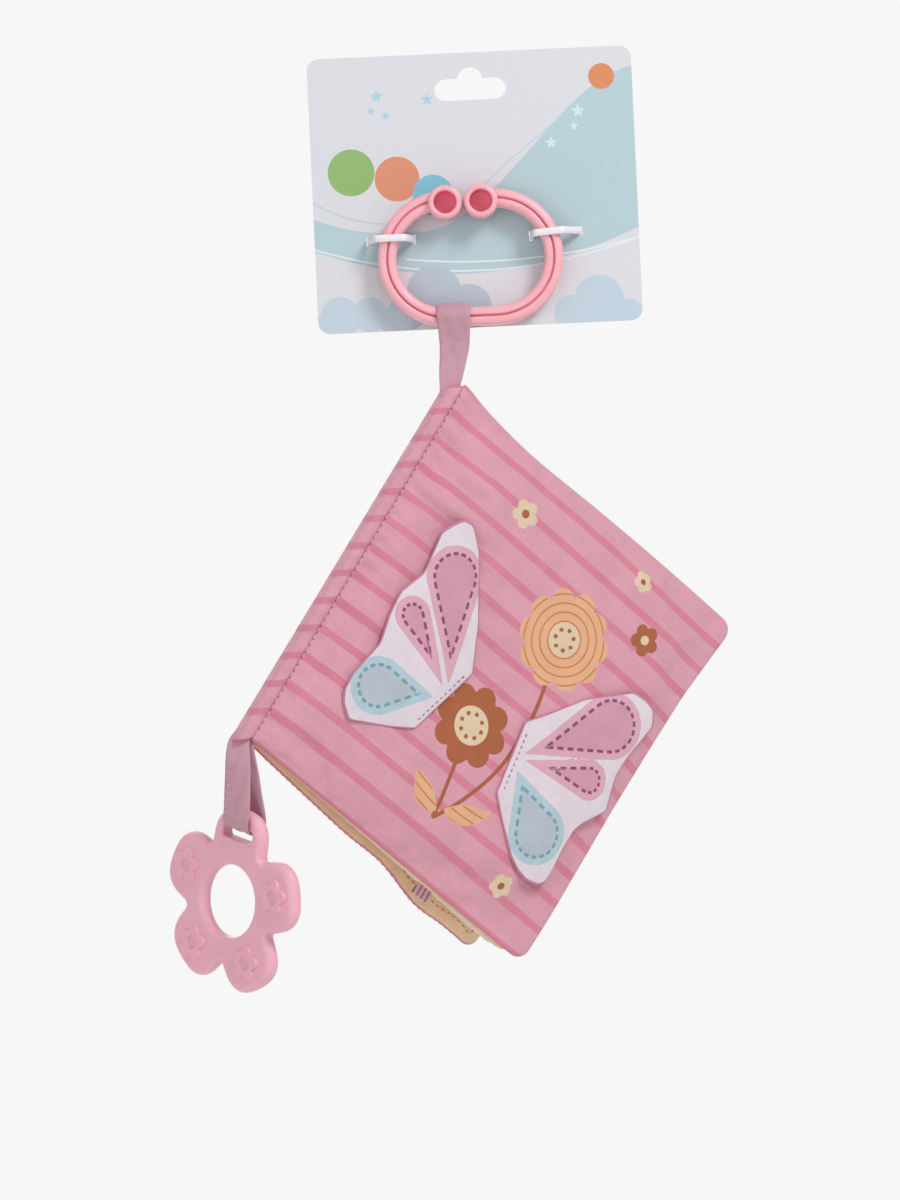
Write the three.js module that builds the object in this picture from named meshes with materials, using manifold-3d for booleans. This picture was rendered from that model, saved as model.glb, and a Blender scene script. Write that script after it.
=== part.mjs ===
// A hanging cloth book for a baby: header card, link ring, ribbon, padded book with flaps, and teether.
// Millimetres, +Z up, +Y away from the viewer, origin at the centre of the card's hang slot.
import * as THREE from "three";
import { mergeVertices } from "three/addons/utils/BufferGeometryUtils.js";
import Module from "manifold-3d";

const wasm = await Module();
wasm.setup();

const degree = Math.PI / 180;

// Clearances
const seatGap = 0.3; // between pieces that touch
const layerGap = 0.25; // between the layers inside a padded board
const overrun = 1; // how far a cutter runs past what it cuts

// Header card
const cardWidth = 118;
const cardHeight = 100;
const cardThickness = 0.5;
const cardCorner = 4.4;
const cardTop = 13.3; // card edge above the hang slot's centre
const cardTilt = -2.64 * degree; // turn about +Y, right side up
const slotWidth = 26;
const slotHeight = 8;
const slotBumpRadius = 4.7;
const slotBumpRise = 3.3;

// Link ring
const ringShift = 2.66; // ring centre left of the slot's centre
const ringDrop = 61.94; // ring centre below the slot's centre
const ringStandOff = 2.3; // card to ring, room for the ribbon behind the bar
const ringStraight = 18; // straight run along the bottom
const ringBend = 21.2; // centreline radius of the ends
const armWidth = 6.8;
const armDepth = 7;
const armRounding = 2;
const grooveWidth = 1.1;
const grooveDepth = 1.2;
const knobDiameter = 12.3;
const knobBore = 8.2;
const knobLength = 9.5;
const knobFloor = 2;
const knobRim = 1.1;
const knobSpacing = 12.93;
const knobShift = 1.93; // knob pair left of the ring's centre
const knobSink = 1.1; // knob centres below the bar's centreline
const ringMouth = 9; // cut in the bar, hidden inside the knobs

// Ties that hold the ring on the card
const tieWidth = 2.6;
const tieThickness = 1.1;
const leftTieSpan = 16; // between the two slits of one tie
const rightTieSpan = 17.5;
const tieRise = 8.1; // ties above the ring's centre
const tieCorner = 0.7;
const rightTieShift = 2.8; // right tie sits outside its arm's centre
const rightTieTilt = -3.5 * degree;
const slitLength = 3.4;
const slitWidth = 1.9;
const tieHeadWidth = 5;
const tieHeadHeight = 4;
const tieHeadDepth = 3.5;

// Book block
const bookYaw = 28.3 * degree;
const bookRoll = 33.9 * degree;
const seamLength = 152;
const bandWidth = 4.8; // fold to seam
const bandDepth = 7.2; // front face to back face at the spine
const bandRounding = 2.4;
const bandSlant = 4; // fold side of the ends lies lower
const clothThickness = 0.6;
const bookHang = 25.1; // ring bar to the top of the spine
const bookLean = -0.21;

// Boards
const bottomWidth = 135.7;
const topWidth = 143.7;
const foreDrop = 8.5; // fore-edge hangs lower than the spine
const foreDrawIn = 2.3;
const topDrawIn = 3.2;
const coverCorner = 5;
const leafCorner = 8;
const leafInset = 1.5;
const edgeThickness = 1.5;
const mirrorEdgeThickness = 1.8;
const leafFan = 2.5 * degree;
const mirrorFan = 4.5 * degree;
const backFan = 12 * degree;
const coverCrown = 4.5;
const liningCrown = 1.4;
const leafFrontCrown = 1.4;
const leafBackCrown = 1.3;
const mirrorBackCrown = 2;
const backLiningCrown = 1;
const backCrown = 3;
const filmThickness = 0.3;

// Where the boards' grid lines lie, and how far the padding swells at each, as shares.
const gridShares = [0, 0.012, 0.04, 0.1, 0.25, 0.5, 0.75, 0.9, 0.96, 0.988, 1];
const outerSwellShares = [0, 0.07, 0.22, 0.58, 0.94, 1, 0.97, 0.72, 0.36, 0.13, 0];
const innerSwellShares = [0, 0.02, 0.07, 0.2, 0.52, 0.95, 1, 0.76, 0.4, 0.14, 0];
const heightSwellShares = [0, 0.15, 0.42, 0.76, 0.97, 1, 0.97, 0.76, 0.42, 0.15, 0];
const topDrawShares = [0, 0.05, 0.25, 0.65, 1, 0.55, 0.25, 0.2, 0.2, 0.2, 0.2];
const foreDrawShares = [0, 0, 0, 0, 0.3, 0.85, 1, 0.45, 0.15, 0.05, 0];
const fillingShare = 0.1; // the fillings start at this grid line
const last = gridShares.length - 1;
const inner = gridShares.indexOf(fillingShare);

// Mirror
const mirrorWindow = 58;
const mirrorDiameter = 65;
const mirrorThickness = 0.5;
const mirrorPlaceShare = 0.5;

// Page tab
const tabWidth = 7;
const tabLength = 4.4;
const tabThickness = 1.2;
const tabPlaceShare = 0.685; // along the leaf's lower edge

// Squeaker
const squeakerDiameter = 27;
const squeakerHeight = 4.2;
const squeakerRounding = 1;
const squeakerGap = 0.5;
const reedDiameter = 6;
const reedHeight = 2.2;
const reedBore = 2.4;
const squeakerPlaceShare = 0.5;

// Flaps: seam centre on the front cover, lean of the seam, and outline as shares of span and height.
const flapClearance = 0.6;
const flapCrown = 1.6;
const flapDrapeShare = 0.5;
const leftFlapPlace = [53.5, 51.1];
const leftFlapLean = 16.7 * degree;
const leftFlapSpan = 47.3;
const leftFlapHeight = 81;
const leftFlapShares = [
  [0.015, 0.182], [0.063, 0.207], [0.254, 0.332], [0.419, 0.417], [0.693, 0.543], [0.786, 0.568],
  [0.879, 0.593], [0.953, 0.575], [0.983, 0.519], [1, 0.456], [0.926, 0.362], [0.858, 0.278],
  [0.873, 0.142], [0.797, 0.023], [0.719, -0.053], [0.689, -0.086], [0.679, -0.154], [0.655, -0.268],
  [0.606, -0.343], [0.541, -0.379], [0.416, -0.407], [0.165, -0.28], [0.015, -0.191], [0.015, 0],
];
const rightFlapPlace = [87.2, 49.1];
const rightFlapLean = -8.3 * degree;
const rightFlapSpan = 49.5;
const rightFlapHeight = 79.3;
const rightFlapShares = [
  [0.01, -0.176], [0.145, -0.279], [0.325, -0.404], [0.424, -0.446], [0.515, -0.467], [0.616, -0.464],
  [0.663, -0.441], [0.681, -0.36], [0.691, -0.269], [0.711, -0.172], [0.747, -0.131], [0.907, -0.016],
  [0.901, 0.028], [0.873, 0.151], [0.901, 0.241], [0.964, 0.371], [1, 0.438], [0.953, 0.505],
  [0.865, 0.527], [0.743, 0.533], [0.4, 0.4], [0.15, 0.25], [0.01, 0.175], [0.01, 0],
];
const flapCentreShare = 0.38;
const flapRingShares = [1, 0.94, 0.72, 0.4];
const flapSwellShares = [0, 0.25, 0.7, 0.95, 1];
const flapFillingShare = 0.72; // the flap's filling starts at this ring
const flapInner = flapRingShares.indexOf(flapFillingShare);

// Ribbons
const ribbonWidth = 12;
const ribbonThickness = 0.8;
const ribbonNeck = 6.2; // folded width where a ribbon enters the spine
const topLoopRadius = 4.65; // inside of the loop round the ring's bar
const topLoopTail = 10.5; // bar centre to where the two layers meet
const topRibbonPlace = 7.17; // ribbon centre left of the ring's centre
const teetherLoopRadius = 4.7;
const teetherLoopTail = 11;

// Teether
const petals = 5;
const petalRadius = 12.5;
const petalPlace = 20.5; // petal centres from the teether's centre
const teetherBore = 25.4;
const teetherThickness = 5.6;
const teetherRounding = 2.4;
const teetherSlotWidth = 13.6;
const teetherSlotHeight = 4.2;
const teetherSlotCorner = 1.4;
const teetherBar = 6.6; // bar between the slot and the petal's top
const teetherYaw = -43 * degree;
const teetherRoll = 12 * degree;
const teetherHang = 27.64; // spine's lower end down to the bar's centre
const teetherLean = [1.64, -0.81];
const emblemPlace = 24;
const emblemRadius = 4.9;
const emblemWaist = 3.2;
const emblemRise = 0.6;
const emblemBore = 2.8;

// Colours
const cardColour = 0xd9dadf;
const ringColour = 0xf9b9c3;
const tieColour = 0xf2eef2;
const ribbonColour = 0xc48fa4;
const coverColour = 0xdda3b5;
const creamColour = 0xe3c79b;
const whiteColour = 0xe8e6ea;
const paddingColour = 0xf4f2ee;
const filmColour = 0xe9e9ee;
const mirrorColour = 0xd6dbe0;
const squeakerColour = 0xf7f4ea;
const flapColour = 0xe6dae2;
const teetherColour = 0xe8a5ba;

// Builds an indexed geometry whose faces point outwards.
function solid(points, triangles) {
  let volume = 0;
  const a = new THREE.Vector3();
  const b = new THREE.Vector3();
  const c = new THREE.Vector3();
  for (const [i, j, k] of triangles) {
    a.fromArray(points[i]);
    b.fromArray(points[j]);
    c.fromArray(points[k]);
    volume += a.dot(b.cross(c));
  }
  const turned = volume < 0 ? triangles.map(([i, j, k]) => [i, k, j]) : triangles;
  const geometry = new THREE.BufferGeometry();
  geometry.setAttribute("position", new THREE.Float32BufferAttribute(points.flat(), 3));
  geometry.setIndex(turned.flat());
  return geometry;
}

function toManifold(geometry) {
  const bare = geometry.clone();
  bare.deleteAttribute("normal");
  bare.deleteAttribute("uv");
  const merged = mergeVertices(bare, 1e-4);
  return new wasm.Manifold(
    new wasm.Mesh({
      numProp: 3,
      vertProperties: new Float32Array(merged.attributes.position.array),
      triVerts: new Uint32Array(merged.index.array),
    }),
  );
}

function fromManifold(made) {
  const mesh = made.getMesh();
  const points = new Float32Array(mesh.numVert * 3);
  for (let i = 0; i < mesh.numVert; i++) {
    points.set(mesh.vertProperties.subarray(i * mesh.numProp, i * mesh.numProp + 3), i * 3);
  }
  const geometry = new THREE.BufferGeometry();
  geometry.setAttribute("position", new THREE.BufferAttribute(points, 3));
  geometry.setIndex(new THREE.BufferAttribute(mesh.triVerts, 1));
  return geometry;
}

function join(...geometries) {
  return fromManifold(geometries.map(toManifold).reduce((whole, next) => whole.add(next)));
}

function cut(geometry, ...cutters) {
  return fromManifold(cutters.map(toManifold).reduce((whole, next) => whole.subtract(next), toManifold(geometry)));
}

function finish(geometry) {
  const faceted = geometry.index ? geometry.toNonIndexed() : geometry;
  faceted.computeVertexNormals();
  return faceted;
}

const group = new THREE.Group();

function place(parent, name, geometry, colour, roughness = 0.85) {
  const material = new THREE.MeshStandardMaterial({ color: colour, roughness, metalness: 0 });
  const mesh = new THREE.Mesh(finish(geometry), material);
  mesh.name = name;
  parent.add(mesh);
  return mesh;
}

// Extrudes a shape drawn in x and z along y, from front to back.
function extrudeDepth(shape, front, back, curveSegments = 6) {
  const geometry = new THREE.ExtrudeGeometry(shape, {
    depth: back - front,
    bevelEnabled: false,
    curveSegments,
  });
  geometry.rotateX(Math.PI / 2);
  geometry.translate(0, back, 0);
  return geometry;
}

// Extrudes a shape drawn in y and z along x, centred.
function extrudeAcross(shape, width) {
  const geometry = new THREE.ExtrudeGeometry(shape, { depth: width, bevelEnabled: false });
  geometry.translate(0, 0, -width / 2);
  geometry.applyMatrix4(
    new THREE.Matrix4().makeBasis(
      new THREE.Vector3(0, 1, 0),
      new THREE.Vector3(0, 0, 1),
      new THREE.Vector3(1, 0, 0),
    ),
  );
  return geometry;
}

function roundedRectangle(target, width, height, radius) {
  const w = width / 2;
  const h = height / 2;
  target.moveTo(-w + radius, -h);
  target.lineTo(w - radius, -h);
  target.absarc(w - radius, -h + radius, radius, -Math.PI / 2, 0);
  target.lineTo(w, h - radius);
  target.absarc(w - radius, h - radius, radius, 0, Math.PI / 2);
  target.lineTo(-w + radius, h);
  target.absarc(-w + radius, h - radius, radius, Math.PI / 2, Math.PI);
  target.lineTo(-w, -h + radius);
  target.absarc(-w + radius, -h + radius, radius, Math.PI, Math.PI * 1.5);
  return target;
}

// Moves each point of a closed loop (anticlockwise) inwards by a distance.
function insetLoop(points, distance) {
  return points.map((point, i) => {
    const before = points[(i + points.length - 1) % points.length];
    const after = points[(i + 1) % points.length];
    const first = new THREE.Vector2(point[0] - before[0], point[1] - before[1]).normalize();
    const second = new THREE.Vector2(after[0] - point[0], after[1] - point[1]).normalize();
    const across = new THREE.Vector2(-first.y - second.y, first.x + second.x).normalize();
    const reach = distance / Math.max(0.5, across.dot(new THREE.Vector2(-first.y, first.x)));
    return [point[0] + across.x * reach, point[1] + across.y * reach];
  });
}

// Cuts each corner of a closed loop.
function chamferLoop(points, size) {
  return points.flatMap((point, i) => {
    const here = new THREE.Vector2(...point);
    const neighbours = [points[(i + points.length - 1) % points.length], points[(i + 1) % points.length]];
    return neighbours.map((other) => {
      const step = new THREE.Vector2(...other).sub(here).normalize().multiplyScalar(size);
      return [here.x + step.x, here.y + step.y];
    });
  });
}

// Traces a closed loop anticlockwise.
function drawLoop(target, loop) {
  const flat = loop.map(([x, y]) => new THREE.Vector2(x, y));
  const points = THREE.ShapeUtils.isClockWise(flat) ? [...loop].reverse() : loop;
  points.forEach(([x, y], i) => (i ? target.lineTo(x, y) : target.moveTo(x, y)));
  target.closePath();
  return target;
}

// Joins closed rings of equal length, one after another; the ends are capped, or the run closes on itself.
function loft(rings, closed = false) {
  const points = rings.flat();
  const n = rings[0].length;
  const triangles = [];
  const runs = closed ? rings.length : rings.length - 1;
  for (let r = 0; r < runs; r++) {
    const here = r * n;
    const next = ((r + 1) % rings.length) * n;
    for (let i = 0; i < n; i++) {
      const j = (i + 1) % n;
      triangles.push([here + i, here + j, next + j], [here + i, next + j, next + i]);
    }
  }
  if (!closed) {
    for (let i = 1; i < n - 1; i++) {
      const end = (rings.length - 1) * n;
      triangles.push([0, i + 1, i], [end, end + i, end + i + 1]);
    }
  }
  return solid(points, triangles);
}

const yAxis = new THREE.Vector3(0, 1, 0);
const zAxis = new THREE.Vector3(0, 0, 1);

function turned(yaw, roll) {
  const about = new THREE.Quaternion().setFromAxisAngle(zAxis, yaw);
  return about.multiply(new THREE.Quaternion().setFromAxisAngle(yAxis, roll));
}

// Header card, link ring and ties share the card's tilt.
const display = new THREE.Group();
display.rotation.y = cardTilt;
group.add(display);

const ringFront = cardThickness / 2 + ringStandOff + armDepth;
const ringMiddle = -(ringFront - armDepth / 2);

function tieHalfAcross() {
  return Math.sqrt(ringBend ** 2 - tieRise ** 2);
}

// A tie's centre along x from the ring's centre; side is -1 for the left arm and 1 for the right one.
function tiePlace(side, shift) {
  return side * (ringStraight / 2 + tieHalfAcross() + shift);
}

const ties = [
  { name: "left_tie", x: tiePlace(-1, 0), arm: 0, span: leftTieSpan, tilt: 0 },
  {
    name: "right_tie",
    x: tiePlace(1, rightTieShift),
    arm: -rightTieShift,
    span: rightTieSpan,
    tilt: rightTieTilt,
  },
];

function headerCard() {
  const shape = new THREE.Shape();
  roundedRectangle(shape, cardWidth, cardHeight, cardCorner);
  const middle = cardTop - cardHeight / 2;
  const lobe = slotHeight / 2;
  const bumpEdge = Math.sqrt(slotBumpRadius ** 2 - (lobe - slotBumpRise) ** 2);
  const bumpAngle = Math.asin((lobe - slotBumpRise) / slotBumpRadius);
  const slot = new THREE.Path();
  slot.moveTo(-slotWidth / 2 + lobe, -middle - lobe);
  slot.lineTo(slotWidth / 2 - lobe, -middle - lobe);
  slot.absarc(slotWidth / 2 - lobe, -middle, lobe, -Math.PI / 2, Math.PI / 2);
  slot.lineTo(bumpEdge, -middle + lobe);
  slot.absarc(0, -middle + slotBumpRise, slotBumpRadius, bumpAngle, Math.PI - bumpAngle);
  slot.lineTo(-slotWidth / 2 + lobe, -middle + lobe);
  slot.absarc(-slotWidth / 2 + lobe, -middle, lobe, Math.PI / 2, Math.PI * 1.5);
  shape.holes.push(slot);
  const slits = [];
  for (const tie of ties) {
    for (const side of [-1, 1]) {
      const slit = new THREE.BoxGeometry(slitWidth, cardThickness + 2 * overrun, slitLength);
      slit.translate((side * tie.span) / 2, 0, 0);
      slit.rotateY(tie.tilt);
      slit.translate(tie.x - ringShift, 0, tieRise - ringDrop);
      slits.push(slit);
    }
  }
  const geometry = extrudeDepth(shape, -cardThickness / 2, cardThickness / 2);
  geometry.translate(0, 0, middle);
  return cut(geometry, ...slits);
}
place(display, "header_card", headerCard(), cardColour, 0.7);

const ringGroup = new THREE.Group();
ringGroup.position.set(-ringShift, 0, -ringDrop);
display.add(ringGroup);

function linkRing() {
  const w = armWidth / 2;
  const d = armDepth / 2;
  const profile = [];
  const corners = [[1, -1, -90], [1, 1, 0], [-1, 1, 90], [-1, -1, 180]];
  for (const [sx, sy, start] of corners) {
    for (const step of [0, 30, 60, 90]) {
      const angle = (start + step) * degree;
      profile.push([
        sx * (w - armRounding) + armRounding * Math.cos(angle),
        sy * (d - armRounding) + armRounding * Math.sin(angle),
      ]);
    }
  }
  const groove = grooveWidth / 2;
  profile.push([-groove, -d], [-groove, -d + grooveDepth], [groove, -d + grooveDepth], [groove, -d]);
  const path = [];
  const steps = 12;
  for (const side of [1, -1]) {
    for (let i = 0; i <= steps; i++) {
      const angle = ((side > 0 ? -90 : 90) + (i * 180) / steps) * degree;
      path.push({ x: (side * ringStraight) / 2, cos: Math.cos(angle), sin: Math.sin(angle) });
    }
  }
  const rings = path.map(({ x, cos, sin }) =>
    profile.map(([across, depth]) => [
      x + (ringBend + across) * cos,
      ringMiddle + depth,
      (ringBend + across) * sin,
    ]),
  );
  const mouth = new THREE.BoxGeometry(ringMouth, armDepth + 2 * overrun, armWidth + 2 * overrun);
  mouth.translate(-knobShift, ringMiddle, ringBend);
  const back = -(cardThickness / 2 + ringStandOff);
  const front = back - knobLength;
  const radius = knobDiameter / 2;
  const rimPoints = [0, 30, 60, 90].map((angle) => new THREE.Vector2(
    radius - knobRim + knobRim * Math.sin(angle * degree),
    front + knobRim - knobRim * Math.cos(angle * degree),
  ));
  const knobProfile = [
    new THREE.Vector2(0, front),
    ...rimPoints,
    new THREE.Vector2(radius, back - knobRim / 2),
    new THREE.Vector2(radius - knobRim / 2, back),
    new THREE.Vector2(0, back),
  ];
  const knobs = [];
  const bores = [];
  for (const side of [-1, 1]) {
    const x = -knobShift + (side * knobSpacing) / 2;
    const z = ringBend - knobSink;
    const knob = new THREE.LatheGeometry(knobProfile, 28);
    knob.translate(x, 0, z);
    knobs.push(knob);
    const depth = knobLength - knobFloor + overrun;
    const bore = new THREE.CylinderGeometry(knobBore / 2, knobBore / 2, depth, 20);
    bore.translate(x, back - knobFloor - depth / 2, z);
    bores.push(bore);
  }
  return cut(join(cut(loft(rings, true), mouth), ...knobs), ...bores);
}
place(ringGroup, "link_ring", linkRing(), ringColour, 0.35);

// A closed strap over one arm of the ring and through two slits, with a small head behind the card.
function tieStrap(tie) {
  const half = tie.span / 2;
  const armLean = (tieRise / tieHalfAcross()) * (tieWidth / 2);
  const armHalf = (armWidth / 2) * (ringBend / tieHalfAcross());
  const reach = armHalf + armLean + 2 * seatGap + tieThickness / 2;
  const back = cardThickness / 2 + seatGap + tieThickness / 2;
  const bend = -(cardThickness / 2 + ringStandOff / 2);
  const front = -(ringFront + seatGap + tieThickness / 2);
  const left = Math.max(-half, tie.arm - reach);
  const right = Math.min(half, tie.arm + reach);
  const centreline = [[-half, back], [-half, bend], [left, front], [right, front], [half, bend], [half, back]];
  const outer = chamferLoop(insetLoop(centreline, -tieThickness / 2), tieCorner);
  const bore = insetLoop(centreline, tieThickness / 2);
  const shape = drawLoop(new THREE.Shape(), outer);
  shape.holes.push(drawLoop(new THREE.Path(), bore));
  const strap = new THREE.ExtrudeGeometry(shape, { depth: tieWidth, bevelEnabled: false });
  strap.translate(0, 0, -tieWidth / 2);
  const head = new THREE.BoxGeometry(tieHeadWidth, tieHeadDepth, tieHeadHeight);
  head.translate(0, cardThickness / 2 + seatGap + tieHeadDepth / 2, 0);
  return join(strap, head);
}
for (const tie of ties) {
  const mesh = place(ringGroup, tie.name, tieStrap(tie), tieColour, 0.3);
  mesh.position.set(tie.x, 0, tieRise);
  mesh.rotation.y = tie.tilt;
}

// The ring's bar where the ribbon hangs, and the spine's ends below it.
const cardTurn = new THREE.Quaternion().setFromAxisAngle(yAxis, cardTilt);
const barPoint = new THREE.Vector3(-ringShift - topRibbonPlace, ringMiddle, -ringDrop - ringBend);
barPoint.applyQuaternion(cardTurn);
const bookPose = turned(bookYaw, bookRoll);
const spineTopLocal = new THREE.Vector3(-bandWidth / 2, bandDepth / 2, seamLength - bandSlant / 2);
const spineTop = barPoint.clone().add(new THREE.Vector3(bookLean, 0, -bookHang));
const bookOrigin = spineTop.clone().sub(spineTopLocal.clone().applyQuaternion(bookPose));
const spineBottomLocal = new THREE.Vector3(-bandWidth / 2, bandDepth / 2, -bandSlant / 2);
const spineBottom = spineBottomLocal.applyQuaternion(bookPose).add(bookOrigin);
const spineEndAlong = new THREE.Vector3(bandWidth, 0, bandSlant).normalize().applyQuaternion(bookPose);
const spineEndThrough = new THREE.Vector3(0, 1, 0).applyQuaternion(bookPose);
const spineEndLevel = new THREE.Vector3(spineEndAlong.x, spineEndAlong.y, 0).normalize();

// A ribbon ends level, this far off the middle of the spine's slanted end, so that it clears it as it turns.
const spineEndOff = (ribbonNeck / 2) * spineEndAlong.z + seatGap;

// Section of a ribbon loop: a ring round the bar that closes to two flat layers.
function loopShape(radius, tail, towards) {
  const shape = new THREE.Shape();
  const bore = new THREE.Path();
  const outer = radius + ribbonThickness;
  const turn = (reach) => Math.asin(reach / tail);
  const trace = (reach, end) => {
    const points = [];
    const start = -turn(reach) / degree;
    const finishAngle = 180 - start;
    const steps = 16;
    for (let i = 0; i <= steps; i++) {
      const angle = (start + ((finishAngle - start) * i) / steps) * degree;
      points.push([reach * Math.cos(angle), -towards * reach * Math.sin(angle)]);
    }
    return [...points, ...end];
  };
  const level = towards * tail;
  const outerLoop = trace(outer, [[-ribbonThickness, level], [ribbonThickness, level]]);
  const boreLoop = trace(radius, [[0, level - towards * 1.5 * ribbonThickness]]);
  drawLoop(shape, outerLoop);
  drawLoop(bore, boreLoop);
  shape.holes.push(bore);
  return shape;
}

// A flat double ribbon from a loop's tail to the spine's end, turning and narrowing on its way.
function ribbonStrap(tailPoint, tailAcross, tailThrough, endPoint) {
  const steps = 5;
  const rings = [];
  for (let i = 0; i <= steps; i++) {
    const share = i / steps;
    const eased = share * share * (3 - 2 * share);
    const centre = tailPoint.clone().lerp(endPoint, share);
    const across = tailAcross.clone().lerp(spineEndLevel, eased).normalize();
    const through = tailThrough.clone().lerp(spineEndThrough, eased).normalize();
    const half = THREE.MathUtils.lerp(ribbonWidth, ribbonNeck, eased) / 2;
    rings.push(
      [[-1, -1], [1, -1], [1, 1], [-1, 1]].map(([sx, sy]) =>
        centre
          .clone()
          .addScaledVector(across, sx * half)
          .addScaledVector(through, sy * ribbonThickness)
          .toArray(),
      ),
    );
  }
  return loft(rings);
}

function topRibbon() {
  const loop = extrudeAcross(loopShape(topLoopRadius, topLoopTail, -1), ribbonWidth);
  loop.applyQuaternion(cardTurn);
  const down = new THREE.Vector3(0, 0, -1).applyQuaternion(cardTurn);
  const across = new THREE.Vector3(1, 0, 0).applyQuaternion(cardTurn);
  const tail = down.clone().multiplyScalar(topLoopTail - ribbonThickness);
  const end = spineTop.clone().sub(barPoint).addScaledVector(zAxis, spineEndOff);
  return join(loop, ribbonStrap(tail, across, yAxis.clone(), end));
}
place(group, "top_ribbon", topRibbon(), ribbonColour).position.copy(barPoint);

// The book and everything sewn into it.
const book = new THREE.Group();
book.position.copy(bookOrigin);
book.quaternion.copy(bookPose);
group.add(book);

function slanted(geometry) {
  geometry.applyMatrix4(new THREE.Matrix4().set(
    1, 0, 0, 0,
    0, 1, 0, 0,
    bandSlant / bandWidth, 0, 1, 0,
    0, 0, 0, 1,
  ));
  return geometry;
}

// Section of the spine, open towards the pages: front face, round fold, back face, set in by some depth.
function spineSection(inset) {
  const radius = bandRounding - inset;
  const points = [[0, inset]];
  for (const [centreY, start] of [[bandRounding, -90], [bandDepth - bandRounding, -180]]) {
    for (const step of [0, 30, 60, 90]) {
      const angle = (start - step) * degree;
      points.push([
        -bandWidth + bandRounding + radius * Math.cos(angle),
        centreY + radius * Math.sin(angle),
      ]);
    }
  }
  points.push([0, bandDepth - inset]);
  return points;
}

function spineCover() {
  const shape = drawLoop(new THREE.Shape(), [
    ...spineSection(0),
    ...spineSection(clothThickness).reverse(),
  ]);
  return slanted(new THREE.ExtrudeGeometry(shape, { depth: seamLength, bevelEnabled: false }));
}

function spineCore() {
  const points = spineSection(clothThickness + seatGap).map(([x, y]) => [Math.min(x, -seatGap), y]);
  const shape = drawLoop(new THREE.Shape(), points);
  const geometry = new THREE.ExtrudeGeometry(shape, {
    depth: seamLength - 2 * clothThickness,
    bevelEnabled: false,
  });
  geometry.translate(0, 0, clothThickness);
  return slanted(geometry);
}
place(book, "spine_cover", spineCover(), coverColour);
place(book, "spine_core", spineCore(), paddingColour);

// Place of a board's grid node in the board's plane.
function boardPoint(i, j, corner, inset) {
  const a = gridShares[i];
  const b = gridShares[j];
  const width = THREE.MathUtils.lerp(bottomWidth, topWidth, b) - foreDrawIn * foreDrawShares[j] - inset;
  const tall = seamLength - topDrawIn * topDrawShares[i] - 2 * inset;
  let x = a * width;
  let z = b * tall;
  const beside = width - x;
  const nearTop = b > 0.5;
  const above = nearTop ? tall - z : z;
  if (beside < corner && above < corner) {
    const u = 1 - beside / corner;
    const v = 1 - above / corner;
    const pull = Math.max(u, v) / Math.hypot(u, v);
    x = width - corner * (1 - u * pull);
    const off = corner * (1 - v * pull);
    z = nearTop ? tall - off : off;
  }
  return [x, inset + z - foreDrop * a];
}

// A layer of a board between two surfaces, over the grid nodes from first to end.
function boardLayer(front, back, { first = 0, corner = coverCorner, inset = 0 } = {}) {
  const end = last - first;
  const across = end - first + 1;
  const points = [];
  for (const depth of [front, back]) {
    for (let j = first; j <= end; j++) {
      for (let i = first; i <= end; i++) {
        const [x, z] = boardPoint(i, j, corner, inset);
        points.push([x, depth(i, j), z]);
      }
    }
  }
  const half = across * across;
  const at = (i, j) => j * across + i;
  const triangles = [];
  for (let j = 0; j < across - 1; j++) {
    for (let i = 0; i < across - 1; i++) {
      const [p, q, r, s] = [at(i, j), at(i + 1, j), at(i + 1, j + 1), at(i, j + 1)];
      triangles.push([p, q, r], [p, r, s]);
      triangles.push([half + p, half + r, half + q], [half + p, half + s, half + r]);
    }
  }
  const rim = [];
  for (let i = 0; i < across - 1; i++) rim.push(at(i, 0));
  for (let j = 0; j < across - 1; j++) rim.push(at(across - 1, j));
  for (let i = across - 1; i > 0; i--) rim.push(at(i, across - 1));
  for (let j = across - 1; j > 0; j--) rim.push(at(0, j));
  rim.forEach((p, n) => {
    const q = rim[(n + 1) % rim.length];
    triangles.push([q, p, half + p], [q, half + p, half + q]);
  });
  return solid(points, triangles);
}

const swellOut = (i, j) => outerSwellShares[i] * heightSwellShares[j];
const swellIn = (i, j) => innerSwellShares[i] * heightSwellShares[j];
const offset = (surface, distance) => (i, j) => surface(i, j) + distance;

function boardGroup(parent, middle, fan) {
  const made = new THREE.Group();
  made.position.set(seatGap, middle, 0);
  made.rotation.z = fan;
  parent.add(made);
  return made;
}

const frontMiddle = edgeThickness / 2;
const leafMiddle = 1.5 * edgeThickness + seatGap;
const mirrorMiddle = 2 * edgeThickness + 2 * seatGap + mirrorEdgeThickness / 2;
const backMiddle = bandDepth - edgeThickness / 2;
const edgeHalf = edgeThickness / 2;
const mirrorHalf = mirrorEdgeThickness / 2;

// Front cover
const frontCover = boardGroup(book, frontMiddle, 0);
const coverFace = (i, j) => -edgeHalf - coverCrown * swellOut(i, j);
const liningFace = (i, j) => edgeHalf + liningCrown * swellIn(i, j);
const innerStart = { first: inner };
const frontFilmBack = offset(liningFace, -clothThickness - layerGap);
const frontFilmFront = offset(frontFilmBack, -filmThickness);
const frontBattingFront = offset(coverFace, clothThickness + layerGap);
const frontBattingBack = offset(frontFilmFront, -layerGap);
const squeakerX = squeakerPlaceShare * ((bottomWidth + topWidth) / 2);
const squeakerZ = squeakerPlaceShare * seamLength - foreDrop / 2;
const middleNode = last / 2;
const squeakerY =
  (frontBattingFront(middleNode, middleNode) + frontBattingBack(middleNode, middleNode)) / 2;

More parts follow.
